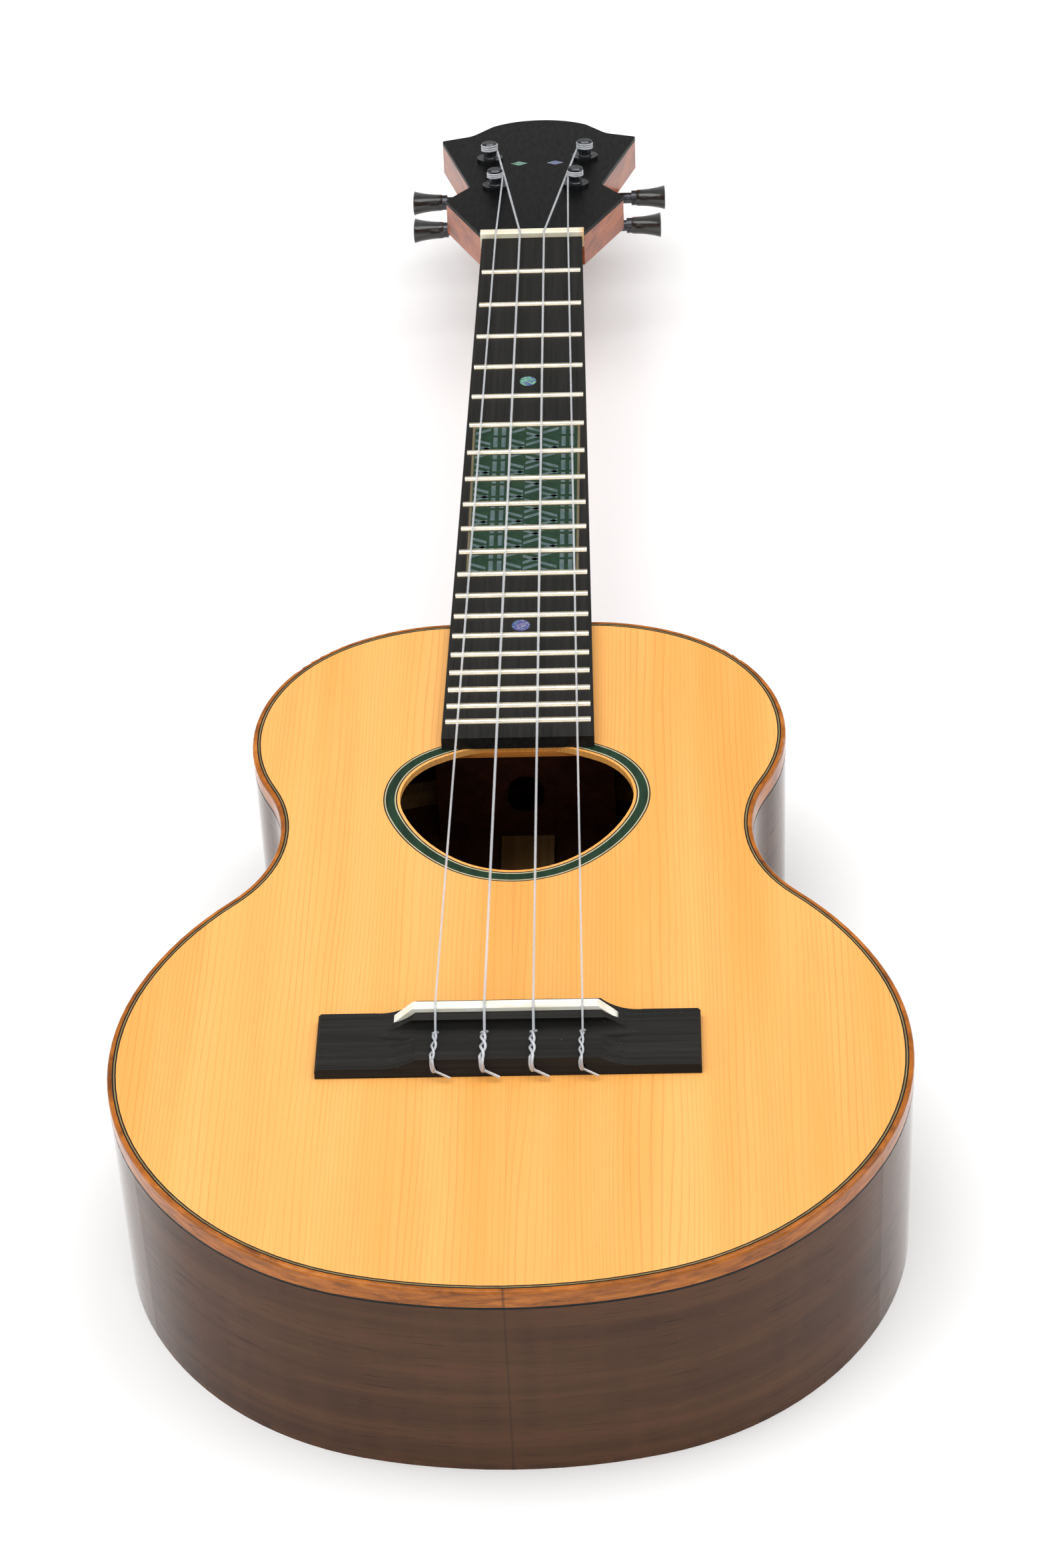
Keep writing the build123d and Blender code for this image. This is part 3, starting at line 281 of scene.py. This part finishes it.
def side_wood(name, lengthwise):
    """Dark walnut: streaks along the rib (or along the back), open pores, faint cross figure."""
    p = Paint(name, roughness=0.45, coat_roughness=0.1, specular=0.12)
    p.grazing_coat(0.12, 1.0)
    if lengthwise == "rib":
        streak, fine = (0.006, 0.006, 0.11), (0.012, 0.012, 0.6)
        pore, figure = (0.07, 0.07, 3.2), (0.12, 0.12, 0.012)
        seam_line = p.math("ABSOLUTE", p.math("SUBTRACT", p.x, 0.12))
        near_tail = p.span(p.y, -338.0, -336.0, 1.0, 0.0)
        streak_space = p.space
    else:
        streak, fine = (0.1, 0.005, 0.02), (0.55, 0.01, 0.02)
        pore, figure = (3.0, 0.06, 0.05), (0.02, 0.11, 0.02)
        seam_line = p.math("ABSOLUTE", p.x)
        near_tail = p.span(p.y, 190.0, 200.0, 1.0, 0.0)
        streak_space = p.vector(seam_line, p.y, p.z)
    broad = p.noise(streak, 1.0, 4, 0.55, 0.35, streak_space)
    colour = p.ramp(
        broad,
        (
            (0.26, srgb(57, 35, 20)),
            (0.43, srgb(71, 44, 26)),
            (0.55, srgb(78, 49, 30)),
            (0.68, srgb(85, 54, 33)),
            (0.84, srgb(66, 41, 25)),
        ),
    )
    veins = p.span(p.noise(fine, 1.0, 4, 0.6, 0.5, streak_space), 0.50, 0.72, 0.0, 0.26)
    colour = p.mix(veins, colour, srgb(54, 38, 30))
    flame = p.span(p.noise(figure, 1.0, 3, 0.5), 0.40, 0.68, 0.0, 0.10)
    colour = p.mix(flame, colour, srgb(112, 72, 44))
    pores = p.span(p.noise(pore, 1.0, 2, 0.5, 0.0, streak_space), 0.61, 0.70, 0.0, 0.55)
    colour = p.mix(pores, colour, srgb(34, 24, 20))
    seam = p.math("MULTIPLY", p.span(seam_line, 0.1, 0.42, 0.4, 0.0), near_tail)
    colour = p.mix(seam, colour, srgb(26, 20, 18))
    p.to("Base Color", colour)
    p.to("Roughness", p.span(pores, 0.0, 0.5, 0.38, 0.55))
    p.bump(p.math("ADD", p.math("MULTIPLY", pores, -1.0), p.math("MULTIPLY", veins, -0.4)), 0.22, 0.0001)
    return p.material


def binding_wood():
    """Orange-brown figured wood bent along the edge, joined at the tail by a dark seam."""
    p = Paint("binding", roughness=0.38, coat_roughness=0.07, specular=0.15)
    p.grazing_coat(0.25, 0.6)
    patches = p.noise((0.10, 0.10, 0.5), 1.0, 4, 0.6, 0.6)
    colour = p.ramp(
        patches,
        (
            (0.28, srgb(104, 54, 14)),
            (0.45, srgb(150, 84, 22)),
            (0.58, srgb(172, 98, 30)),
            (0.74, srgb(190, 120, 48)),
        ),
    )
    flecks = p.span(p.noise((0.16, 0.16, 1.6), 1.0, 4, 0.65, 1.0), 0.52, 0.68, 0.0, 0.5)
    colour = p.mix(flecks, colour, srgb(116, 62, 26))
    near_seam = p.span(p.math("ABSOLUTE", p.x), 0.2, 0.6, 0.6, 0.0)
    seam = p.math("MULTIPLY", near_seam, p.span(p.y, -300.0, -290.0, 1.0, 0.0))
    colour = p.mix(seam, colour, srgb(62, 34, 18))
    p.to("Base Color", colour)
    p.to("Roughness", p.span(flecks, 0.0, 0.5, 0.3, 0.42))
    p.bump(p.math("MULTIPLY", flecks, -1.0), 0.15, 0.00008)
    return p.material


def long_wood(name, light, middle, dark, coat=0.0, rough=0.5, along="y", vein=0.5, specular=0.3):
    """Plain-sawn wood with its grain along one axis."""
    p = Paint(name, roughness=rough, coat=coat, coat_roughness=0.1, specular=specular)
    turn = (lambda a, b: (a, b, a)) if along == "y" else (lambda a, b: (b, a, a))
    broad = p.noise(turn(0.16, 0.008), 1.0, 4, 0.55, 0.6)
    colour = p.ramp(broad, ((0.3, srgb(*dark)), (0.5, srgb(*middle)), (0.7, srgb(*light))))
    fine = p.span(p.noise(turn(1.2, 0.02), 1.0, 3, 0.6), 0.48, 0.7, 0.0, vein)
    colour = p.mix(fine, colour, srgb(*dark))
    pores = p.span(p.noise(turn(4.0, 0.12), 1.0, 2), 0.62, 0.7, 0.0, 0.45)
    colour = p.mix(pores, colour, srgb(*(v * 0.55 for v in dark)))
    p.to("Base Color", colour)
    p.to("Roughness", p.span(pores, 0.0, 0.5, rough, rough + 0.14))
    p.bump(p.math("MULTIPLY", pores, -1.0), 0.2, 0.00008)
    return p.material


def black_wood(name, base, lift, rough, coat, along="y", dust=0.0, specular=0.16):
    """Ebony: almost black, with barely lighter threads along its grain, and fine dust if asked."""
    p = Paint(name, roughness=rough, coat=coat, coat_roughness=0.06, specular=specular)
    turn = (lambda a, b: (a, b, a)) if along == "y" else (lambda a, b: (b, a, a))
    threads = p.noise(turn(0.7, 0.012), 1.0, 4, 0.6, 0.3)
    colour = p.ramp(threads, ((0.35, srgb(*base)), (0.72, srgb(*lift))))
    pores = p.span(p.noise(turn(3.4, 0.08), 1.0, 2), 0.58, 0.7, 0.0, 0.6)
    colour = p.mix(pores, colour, srgb(*(v * 0.5 for v in base)))
    if dust:
        speck = p.cells(0.32)
        mark = p.math("MULTIPLY", p.span(speck.outputs["Distance"], 0.0, 0.055, 1.0, 0.0), dust)
        colour = p.mix(mark, colour, srgb(196, 190, 180))
    p.to("Base Color", colour)
    p.to("Roughness", p.span(threads, 0.3, 0.7, rough - 0.05, rough + 0.09))
    p.bump(p.math("ADD", p.math("MULTIPLY", pores, -1.0), p.math("MULTIPLY", threads, 0.5)), 0.25, 0.0001)
    return p.material


# ---------------------------------------------------------------- metals, bone, shell and the rest
def metal(name, tone, lift, rough, wear=0.25):
    p = Paint(name, metallic=1.0, roughness=rough)
    cloud = p.noise((1, 1, 1), 0.35, 4, 0.6)
    colour = p.ramp(cloud, ((0.3, srgb(*tone)), (0.7, srgb(*lift))))
    tarnish = p.span(p.noise((1, 1, 1), 0.09, 5, 0.7), 0.55, 0.75, 0.0, wear)
    colour = p.mix(tarnish, colour, srgb(*(v * 0.7 for v in tone)))
    scratch = p.noise((6.0, 0.5, 6.0), 1.0, 2)
    p.to("Base Color", colour)
    p.to("Roughness", p.span(scratch, 0.3, 0.7, rough - 0.05, rough + 0.1))
    p.bump(scratch, 0.06, 0.00005)
    return p.material


def bone():
    p = Paint("bone", roughness=0.34, coat=0.3, coat_roughness=0.12, subsurface=0.08)
    cloud = p.noise((0.12, 0.5, 0.5), 1.0, 4, 0.55)
    tones = ((0.3, srgb(232, 222, 200)), (0.6, srgb(246, 242, 230)), (0.8, srgb(252, 250, 244)))
    colour = p.ramp(cloud, tones)
    pits = p.span(p.noise((1.2, 3.0, 3.0), 1.0, 2), 0.62, 0.72, 0.0, 0.25)
    colour = p.mix(pits, colour, srgb(206, 188, 154))
    cream = p.span(p.y, 150.0, 160.0, 0.0, 0.3)
    colour = p.mix(cream, colour, srgb(230, 204, 148))
    # Painted reflected light: the nut's end at positive x is tinted amber, standing for warm light bounced onto it
    # from the wood beside it.
    painted_wood_glow = p.math("MULTIPLY", p.span(p.x, 17.5, 19.8, 0.0, 0.75), p.span(p.y, 150.0, 160.0, 0.0, 1.0))
    colour = p.mix(painted_wood_glow, colour, srgb(214, 150, 60))
    p.to("Base Color", colour)
    p.to("Roughness", p.span(cloud, 0.3, 0.7, 0.3, 0.4))
    p.bump(pits, 0.15, 0.00005)
    return p.material


def abalone():
    """Shell: bands of green, blue and rose that turn with a wavy layer pattern."""
    p = Paint("abalone", roughness=0.2, coat=0.8, coat_roughness=0.05, metallic=0.35)
    layers = p.math("ADD", p.noise((0.35, 0.35, 0.35), 1.0, 4, 0.65, 2.2), p.math("MULTIPLY", p.x, 0.012))
    layers = p.math("ADD", layers, p.span(p.y, 20.0, 60.0, 0.12, 0.0))
    colour = p.ramp(
        layers,
        (
            (0.25, srgb(14, 40, 38)),
            (0.38, srgb(54, 142, 106)),
            (0.47, srgb(140, 204, 160)),
            (0.55, srgb(62, 84, 150)),
            (0.66, srgb(96, 72, 150)),
            (0.78, srgb(176, 190, 176)),
        ),
    )
    cracks = p.span(p.cells(0.9).outputs["Distance"], 0.0, 0.12, 0.5, 0.0)
    colour = p.mix(cracks, colour, srgb(24, 44, 46))
    p.to("Base Color", colour)
    p.to("Roughness", p.span(layers, 0.3, 0.7, 0.16, 0.28))
    p.bump(layers, 0.1, 0.00005)
    return p.material


def stained(name, low, high, rough=0.4, coat=0.5, scale=0.35, stretch=(1, 0.15, 1)):
    """Dyed veneer or lacquer with a little lengthwise variation."""
    p = Paint(name, roughness=rough, coat=coat, coat_roughness=0.12, specular=0.2)
    cloud = p.noise(stretch, scale, 4, 0.6)
    fine = p.noise(tuple(v * 6 for v in stretch), scale, 2)
    colour = p.ramp(cloud, ((0.3, srgb(*low)), (0.7, srgb(*high))))
    colour = p.mix(p.span(fine, 0.5, 0.7, 0.0, 0.25), colour, srgb(*low))
    p.to("Base Color", colour)
    p.to("Roughness", p.span(fine, 0.3, 0.7, rough - 0.05, rough + 0.08))
    p.bump(fine, 0.1, 0.00006)
    return p.material


def nylon():
    """Clear drawn nylon, slightly milky, with faint drawing marks."""
    p = Paint("nylon", transmission=0.6, ior=1.5, roughness=0.1, specular=0.7, coat=0.5, coat_roughness=0.05)
    milk = p.noise((0.4, 0.02, 0.4), 1.0, 3)
    p.to("Base Color", p.ramp(milk, ((0.3, srgb(222, 226, 232)), (0.7, srgb(246, 248, 252)))))
    marks = p.noise((1.0, 0.05, 1.0), 1.0, 2)
    p.to("Roughness", p.span(marks, 0.3, 0.7, 0.07, 0.14))
    p.bump(marks, 0.02, 0.00001)
    return p.material


def black_plastic():
    p = Paint("button_black", roughness=0.28, coat=0.6, coat_roughness=0.06)
    cloud = p.noise((1, 1, 1), 0.3, 4, 0.6)
    colour = p.ramp(cloud, ((0.3, srgb(16, 17, 16)), (0.7, srgb(30, 32, 30))))
    scuff = p.span(p.noise((2, 2, 2), 1.0, 3, 0.7), 0.62, 0.72, 0.0, 0.18)
    p.to("Base Color", p.mix(scuff, colour, srgb(70, 72, 70)))
    p.to("Roughness", p.span(cloud, 0.3, 0.7, 0.22, 0.36))
    p.bump(cloud, 0.08, 0.0001)
    return p.material


MATERIALS = {
    "spruce_top": spruce_top(),
    "side_wood": side_wood("rib_walnut", "rib"),
    "back_wood": side_wood("back_walnut", "back"),
    "binding_wood": binding_wood(),
    "neck_wood": long_wood(
        "neck_mahogany", (170, 88, 38), (146, 70, 26), (104, 46, 16), 0.35, 0.4, specular=0.15
    ),
    "inner_spruce": long_wood("brace_spruce", (176, 138, 90), (160, 120, 72), (136, 98, 56), 0.0, 0.65),
    "doubler_wood": long_wood("doubler", (196, 128, 56), (176, 106, 40), (140, 78, 28), 0.15, 0.5, "x"),
    # Painted shade: the head block's mahogany is kept much darker than the neck's, standing for the dimness inside
    # the body.
    "block_wood": long_wood("block_mahogany_in_shade", (84, 42, 22), (68, 33, 18), (48, 23, 13), 0.0, 0.6),
    "ebony": black_wood("board_ebony", (22, 22, 21), (37, 36, 34), 0.5, 0.0),
    "bridge_ebony": black_wood("bridge_ebony", (22, 21, 20), (39, 38, 36), 0.58, 0.0, "x", 0.35),
    "head_gloss": black_wood("head_ebony", (5, 6, 5), (13, 13, 12), 0.36, 0.03, specular=0.03),
    "rosette_green": stained("rosette_green", (14, 38, 24), (30, 58, 38), 0.42, 0.05),
    "inlay_white": stained("inlay_white", (168, 158, 126), (202, 192, 160), 0.4, 0.05),
    "purfling_tan": stained("purfling_tan", (112, 96, 62), (146, 126, 84), 0.45, 0.0),
    "inlay_black": stained("inlay_black", (5, 5, 5), (14, 14, 13), 0.5, 0.0),
    "panel_green": stained("panel_green", (14, 40, 26), (28, 58, 38), 0.45, 0.1, 0.5, (1, 1, 1)),
    "panel_bars": stained("panel_bars", (64, 84, 84), (92, 110, 112), 0.4, 0.1, 0.6, (1, 0.3, 1)),
    "panel_edge": stained("panel_edge", (92, 84, 62), (118, 108, 82), 0.5, 0.1),
    "tuner_metal": metal("smoked_nickel", (58, 59, 62), (90, 91, 95), 0.27),
    "fret_metal": metal("fret_silver", (228, 216, 190), (246, 236, 214), 0.26, 0.1),
    # Painted shade: the neck bolts inside the body get a dark brownish metal rather than the tuner metal, standing
    # for the dim inside of the body.
    "bolt_steel_in_shade": metal("bolt_steel_in_shade", (26, 16, 12), (38, 26, 20), 0.6),
    "gear_brass": metal("brass", (196, 152, 74), (220, 180, 104), 0.26, 0.4),
    "abalone": abalone(),
    "bone": bone(),
    "nylon": nylon(),
    "button_black": black_plastic(),
}


# The neck bolts take the dark metal that paints the shade inside the body.
SPECIAL = {"back": "back_wood", "neck_bolts": "bolt_steel_in_shade", "purfling_white": "purfling_tan"}


def paint_nodes():
    slot_of = {part["node"]: part["material_slot"] for part in frame["record"]["subparts"]}
    for name, node in frame["nodes"].items():
        slot = slot_of[name]
        material = MATERIALS[SPECIAL.get(name, slot)]
        if not node.data.materials:
            node.data.materials.append(material)
        for index in range(len(node.data.materials)):
            node.data.materials[index] = material


# ---------------------------------------------------------------- geometry helpers
def joint_named(name):
    return next(joint for joint in frame["joints"] if joint["name"] == name)


def smooth(mesh, angle):
    """Smooth shading, with edges sharper than the angle in degrees kept crisp if one is given."""
    mesh.shade_smooth()
    if angle:
        mesh.set_sharp_from_angle(angle=math.radians(angle))


def finish_piece(name, body, material, bm, replaced=(), angle=0):
    """A piece from bm, painted, riding on a body, and taking the place of any CAD nodes it replaces."""
    mesh = bpy.data.meshes.new(name)
    bmesh.ops.recalc_face_normals(bm, faces=bm.faces)
    bm.to_mesh(mesh)
    bm.free()
    piece = bpy.data.objects.new(name, mesh)
    bpy.context.scene.collection.objects.link(piece)
    mesh.materials.append(MATERIALS[material])
    smooth(mesh, angle)
    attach(piece, body)
    if replaced:
        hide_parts(*replaced)


# ---------------------------------------------------------------- strings
# Letter, place across the neck in string spacings, radius in millimetres, and its post's joint.
STRINGS = (
    ("g", -1.5, 0.36, "post_spin_lower_left"),
    ("c", -0.5, 0.43, "post_spin_upper_left"),
    ("e", 0.5, 0.41, "post_spin_upper_right"),
    ("a", 1.5, 0.34, "post_spin_lower_right"),
)
ACROSS = Vector((1, 0, 0))
NUT_PITCH = 9.2 * MM
SADDLE_PITCH = 14.4 * MM
NUT_CREST = 1.2 * MM
NUT_CLEARANCE = 1.5 * MM
POST_WAIST = 2.5 * MM
WINDING_GAP = 0.12 * MM
WINDING_HEIGHT = 4.0 * MM
WORM_DEPTH = 20.0 * MM
TURNS = 3
TURN_STEPS = 12
TURN_PITCH = 1.95
TIE_HOLE_HEIGHT = 3.0 * MM
TIE_HOLE_FRONT = 11.9 * MM
TIE_HOLE_REAR = -0.35 * MM
TIE_BLOCK_HEIGHT = 5.8 * MM
TWIST_FRONT = 11.2 * MM
TWIST_REAR = 1.0 * MM
TWIST_STEPS = 26
TWIST_CROSSINGS = 2.5
TWIST_LEAN = -0.45 * MM
TWIST_SWAY = 0.15 * MM
RING_REACH = 13.4 * MM
RING_STEPS = 8
RING_RADIUS = 2.15


def tube_spline(curve, points):
    spline = curve.splines.new("NURBS")
    spline.points.add(len(points) - 1)
    for point, place in zip(spline.points, points):
        point.co = (*place, 1)
        point.radius = 1.0
    spline.order_u = 3
    spline.use_endpoint_u = True
    spline.resolution_u = 4


def corner(points, place, before, after, step):
    """Two points beside a corner, so that the spline turns close to it."""
    points.append(place + (before - place).normalized() * step)
    points.append(place)
    points.append(place + (after - place).normalized() * step)


def post_turns(joint_name, side, radius):
    """Snug turns down the post, ending where the string leaves for the nut."""
    joint = joint_named(joint_name)
    axis = Vector(joint["axis"]).normalized()
    foot = Vector(joint["pos_m"]) + axis * (WORM_DEPTH + WINDING_HEIGHT)
    up_head = axis.cross(ACROSS)
    wrap = POST_WAIST + WINDING_GAP + radius
    turns = []
    for step in range(TURNS * TURN_STEPS + 1):
        angle = 2 * math.pi * step / TURN_STEPS
        height = (TURNS * TURN_STEPS - step) / TURN_STEPS * TURN_PITCH * radius
        ring = -ACROSS * side * math.cos(angle) - up_head * math.sin(angle)
        turns.append(foot + ring * wrap / math.cos(math.pi / TURN_STEPS) ** 0.5 + axis * height)
    return turns


def twist(saddle_x, rank, radius, block_top, rear):
    """The two strands that cross over each other on top of the tie block."""
    core = block_top + 2.1 * radius + 0.1 * MM
    front_y = rear + TWIST_FRONT
    rear_y = rear + TWIST_REAR
    out, back = [], []
    for step in range(TWIST_STEPS + 1):
        share = step / TWIST_STEPS
        angle = 2 * math.pi * TWIST_CROSSINGS * share / 2 + 0.7 * rank
        swell = (1.15 + 0.55 * math.sin(math.pi * share)) * radius
        sway = TWIST_SWAY * math.sin(5 * share + rank)
        centre_x = saddle_x + TWIST_LEAN * (1 - share) ** 0.8 + sway
        centre_z = core + TWIST_SWAY * math.sin(math.pi * share)
        centre = Vector((centre_x, rear_y + (front_y - rear_y) * share, centre_z))
        offset = Vector((math.cos(angle), 0, math.sin(angle) * 0.85)) * swell
        out.append(centre + offset)
        back.append(centre - offset)
    return out, back


def ring_round_string(centre, axis, radius):
    """Most of a turn round the string in front of the block."""
    up = axis.cross(ACROSS).normalized()
    if up.z < 0:
        up = -up
    ring = []
    for step in range(RING_STEPS + 1):
        share = step / RING_STEPS
        angle = math.pi * (-0.15 + 1.65 * share)
        outward = (ACROSS * math.cos(angle) + up * math.sin(angle)) * RING_RADIUS * radius
        ring.append(centre + outward - axis * (share - 0.5) * 1.2 * radius)
    return ring


def string_piece(letter, rank, radius_mm, joint_name):
    """One string as three tubes: post to tie hole, the tie, and the cut end."""
    radius = radius_mm * MM
    side = 1 if rank > 0 else -1
    saddle_low, saddle_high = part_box("saddle")
    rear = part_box("bridge")[0].y
    saddle_x = SADDLE_PITCH * rank
    hole = TOP_Z + TIE_HOLE_HEIGHT
    block_top = TOP_Z + TIE_BLOCK_HEIGHT

    curve = bpy.data.curves.new("string_" + letter + "_line", "CURVE")
    curve.dimensions = "3D"
    curve.bevel_depth = radius
    curve.bevel_resolution = 5
    curve.use_fill_caps = True

    run = post_turns(joint_name, side, radius)
    nut_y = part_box("nut")[0].y + NUT_CREST
    nut_top = Vector((NUT_PITCH * rank, nut_y, BOARD_Z + NUT_CLEARANCE + radius))
    saddle_top = Vector((saddle_x, saddle_low.y + 0.3 * MM, saddle_high.z + radius))
    saddle_front = Vector((saddle_x, saddle_high.y - 0.4 * MM, saddle_high.z + radius))
    hole_front = Vector((saddle_x, rear + TIE_HOLE_FRONT, hole))
    hole_rear = Vector((saddle_x, rear + TIE_HOLE_REAR, hole))
    corner(run, nut_top, run[-1], saddle_front, 1.0 * MM)
    corner(run, saddle_front, nut_top, saddle_top, 0.8 * MM)
    corner(run, saddle_top, saddle_front, hole_front, 0.5 * MM)
    corner(run, hole_front, saddle_top, hole_rear, 0.6 * MM)
    run.append(hole_rear)
    tube_spline(curve, run)

    # The tied end: up over the block, a ring round the string, then twisted back to the rear edge.
    lean = TWIST_LEAN
    out, back = twist(saddle_x, rank, radius, block_top, rear)
    ring_centre = Vector((saddle_x, rear + RING_REACH, hole + 2.0 * MM))
    ring_axis = (saddle_top - hole_front).normalized()
    tie = [hole_rear + Vector((0, 0.6 * MM, 0)), hole_rear + Vector((0, -0.5 * MM, 0.2 * MM))]
    tie.append(Vector((saddle_x + lean * 0.2, rear - 1.1 * MM, hole + 1.3 * MM)))
    tie.append(Vector((saddle_x + lean * 0.5, rear - 0.6 * MM, block_top + 0.5 * MM)))
    tie += out
    tie += ring_round_string(ring_centre, ring_axis, radius)
    tie += reversed(back)
    tie.append(Vector((saddle_x + lean - 0.45 * MM, rear - 0.1 * MM, block_top - 0.2 * MM)))
    tie.append(Vector((saddle_x - 0.75 * MM, rear - 0.75 * MM, hole + 1.2 * MM)))
    tie.append(Vector((saddle_x - 0.35 * MM, rear - 1.0 * MM, hole + 0.1 * MM)))
    tie.append(Vector((saddle_x + 0.1 * MM, rear - 0.5 * MM, hole - 0.45 * MM)))
    tie.append(Vector((saddle_x + 0.2 * MM, rear + 0.5 * MM, hole - 0.4 * MM)))
    tube_spline(curve, tie)

    # The cut end points away to the treble side and down towards the soundboard.
    stub = Vector((saddle_x + 0.25 * MM, rear - 0.8 * MM, hole + 0.25 * MM))
    tail = Vector((1.0, -0.3, -0.36)).normalized()
    tube_spline(curve, [stub, stub + tail * 0.6 * MM, stub + tail * 2.6 * MM, stub + tail * 4.9 * MM])

    piece = bpy.data.objects.new("string_" + letter + "_line", curve)
    bpy.context.scene.collection.objects.link(piece)
    curve.materials.append(MATERIALS["nylon"])
    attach(piece, "instrument")
    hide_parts("string_" + letter)


# ---------------------------------------------------------------- the inlaid fretboard panel
def clip(polygon, low, high):
    """A convex polygon clipped to a rectangle."""
    for axis in (0, 1):
        for bound, keep_above in ((low[axis], True), (high[axis], False)):
            kept = []
            for first, second in zip(polygon, polygon[1:] + polygon[:1]):
                inside_first = (first[axis] >= bound) == keep_above or first[axis] == bound
                inside_second = (second[axis] >= bound) == keep_above or second[axis] == bound
                if inside_first:
                    kept.append(first)
                if inside_first != inside_second:
                    share = (bound - first[axis]) / (second[axis] - first[axis])
                    kept.append(tuple(first[i] + (second[i] - first[i]) * share for i in (0, 1)))
            polygon = kept
            if len(polygon) < 3:
                return []
    return polygon


def slab(bm, polygon, low, high):
    """A thin plate with a slightly narrower top, so that its edge catches the light."""
    centre = (sum(p[0] for p in polygon) / len(polygon), sum(p[1] for p in polygon) / len(polygon))
    inset = 0.06 * MM
    base, top = [], []
    for x, y in polygon:
        away = Vector((x - centre[0], y - centre[1]))
        narrow = away * (1 - inset / max(away.length, inset))
        base.append(bm.verts.new((x, y, low)))
        top.append(bm.verts.new((centre[0] + narrow.x, centre[1] + narrow.y, high)))
    count = len(polygon)
    bm.faces.new(top)
    bm.faces.new(list(reversed(base)))
    for index in range(count):
        after = (index + 1) % count
        bm.faces.new((base[index], base[after], top[after], top[index]))


CELL_WIDE = 6.05 * MM
CELL_TALL = 7.4 * MM
BAR = 1.55 * MM
BAR_RISE = 2.6 * MM
UPRIGHT_COLUMNS = (1, 5)
FRET_GAP = 6 * MM
BORDER = 0.9 * MM


def lattice_bars(x_low, x_high, y_low, y_high):
    """A generic interlaced lattice: upright pairs beside leaning pairs."""
    columns = round((x_high - x_low) / CELL_WIDE)
    rows = math.ceil((y_high - y_low) / CELL_TALL) + 1
    for column in range(columns):
        for row in range(-1, rows):
            left = x_low + column * CELL_WIDE
            low = y_low + row * CELL_TALL
            if column in UPRIGHT_COLUMNS:
                for share in (0.08, 0.56):
                    x = left + share * CELL_WIDE
                    top = low + CELL_TALL * 0.82
                    yield [(x, low), (x + BAR, low), (x + BAR, top), (x, top)]
            else:
                rise = BAR_RISE if (column + row) % 2 else -BAR_RISE
                for share in (0.05, 0.52):
                    y = low + share * CELL_TALL
                    x_end = left + CELL_WIDE * 0.92
                    yield [(left, y), (x_end, y + rise), (x_end, y + rise + BAR), (left, y + BAR)]


def build_panel():
    """Bars and a border laid on the green panel, in the spaces between its frets."""
    low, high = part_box("fretboard_panel")
    node = frame["nodes"]["fretboard_panel"]
    levels = sorted({round(v.co.y, 5) for v in node.data.vertices})
    spaces = [(a, b) for a, b in zip(levels, levels[1:]) if b - a > FRET_GAP]
    bars = bmesh.new()
    for y_low, y_high in spaces:
        for bar in lattice_bars(low.x, high.x, low.y, high.y):
            shape = clip(bar, (low.x + 0.2 * MM, y_low + 0.15 * MM), (high.x - 0.2 * MM, y_high - 0.15 * MM))
            if shape:
                slab(bars, shape, high.z - 0.02 * MM, high.z + 0.05 * MM)
    finish_piece("panel_lattice", "instrument", "panel_bars", bars)
    edge = bmesh.new()
    left, right = low.x - BORDER, high.x + BORDER
    sunk, proud = high.z - 0.1 * MM, high.z + 0.04 * MM
    for y_low, y_high in spaces:
        for x in (left, high.x):
            strip = [(x, y_low), (x + BORDER, y_low), (x + BORDER, y_high), (x, y_high)]
            slab(edge, strip, sunk, proud)
    for y in (spaces[0][0] - BORDER, spaces[-1][1]):
        slab(edge, [(left, y), (right, y), (right, y + BORDER), (left, y + BORDER)], sunk, proud)
    finish_piece("panel_border", "instrument", "panel_edge", edge)


# ---------------------------------------------------------------- tuner buttons
# Share of the way from the headstock to the rim, and the half sizes there in millimetres.
BUTTON_RINGS = (
    (0, 3.2, 3.0),
    (0.04, 3.45, 3.18),
    (0.2, 3.6, 3.25),
    (0.4, 3.85, 3.4),
    (0.6, 4.5, 3.68),
    (0.78, 5.35, 3.98),
    (0.9, 6.1, 4.28),
    (0.965, 6.62, 4.5),
    (0.985, 6.4, 4.3),
    (1.0, 5.6, 3.6),
)
BUTTON_SEGMENTS = 56
OVAL_POWER = 0.86
RIM_ANGLE = 50


def build_button(key):
    """Flared oval button with a rounded rim and a flat end, on its shaft's axis."""
    low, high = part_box("button_" + key)
    side = 1 if high.x > 0 else -1
    inner, outer = (low.x, high.x) if side > 0 else (high.x, low.x)
    normal = Vector(joint_named("post_spin_" + key)["axis"]).normalized()
    along = normal.cross(Vector((1, 0, 0)))
    centre = Vector(joint_named("button_spin_" + key)["pos_m"])
    bm = bmesh.new()
    rings = []
    for share, wide, thick in BUTTON_RINGS:
        middle = Vector((inner + (outer - inner) * share, centre.y, centre.z))
        ring = []
        for step in range(BUTTON_SEGMENTS):
            angle = 2 * math.pi * step / BUTTON_SEGMENTS
            c, s = math.cos(angle), math.sin(angle)
            u = math.copysign(abs(c) ** OVAL_POWER, c) * wide * MM
            v = math.copysign(abs(s) ** OVAL_POWER, s) * thick * MM
            ring.append(bm.verts.new(middle + along * u + normal * v))
        rings.append(ring)
    tip = bm.verts.new(Vector((outer, centre.y, centre.z)))
    around = [(step, (step + 1) % BUTTON_SEGMENTS) for step in range(BUTTON_SEGMENTS)]
    for first, second in zip(rings, rings[1:]):
        for step, after in around:
            bm.faces.new((first[step], first[after], second[after], second[step]))
    for step, after in around:
        bm.faces.new((rings[-1][step], rings[-1][after], tip))
    bm.faces.new(list(reversed(rings[0])))
    finish_piece(
        "button_shape_" + key,
        "button_shaft_" + key,
        "button_black",
        bm,
        replaced=("button_" + key,),
        angle=RIM_ANGLE,
    )


place_camera()
build_stage()
paint_nodes()
for entry in STRINGS:
    string_piece(*entry)
build_panel()
for row in ("lower", "upper"):
    for hand in ("right", "left"):
        build_button(row + "_" + hand)
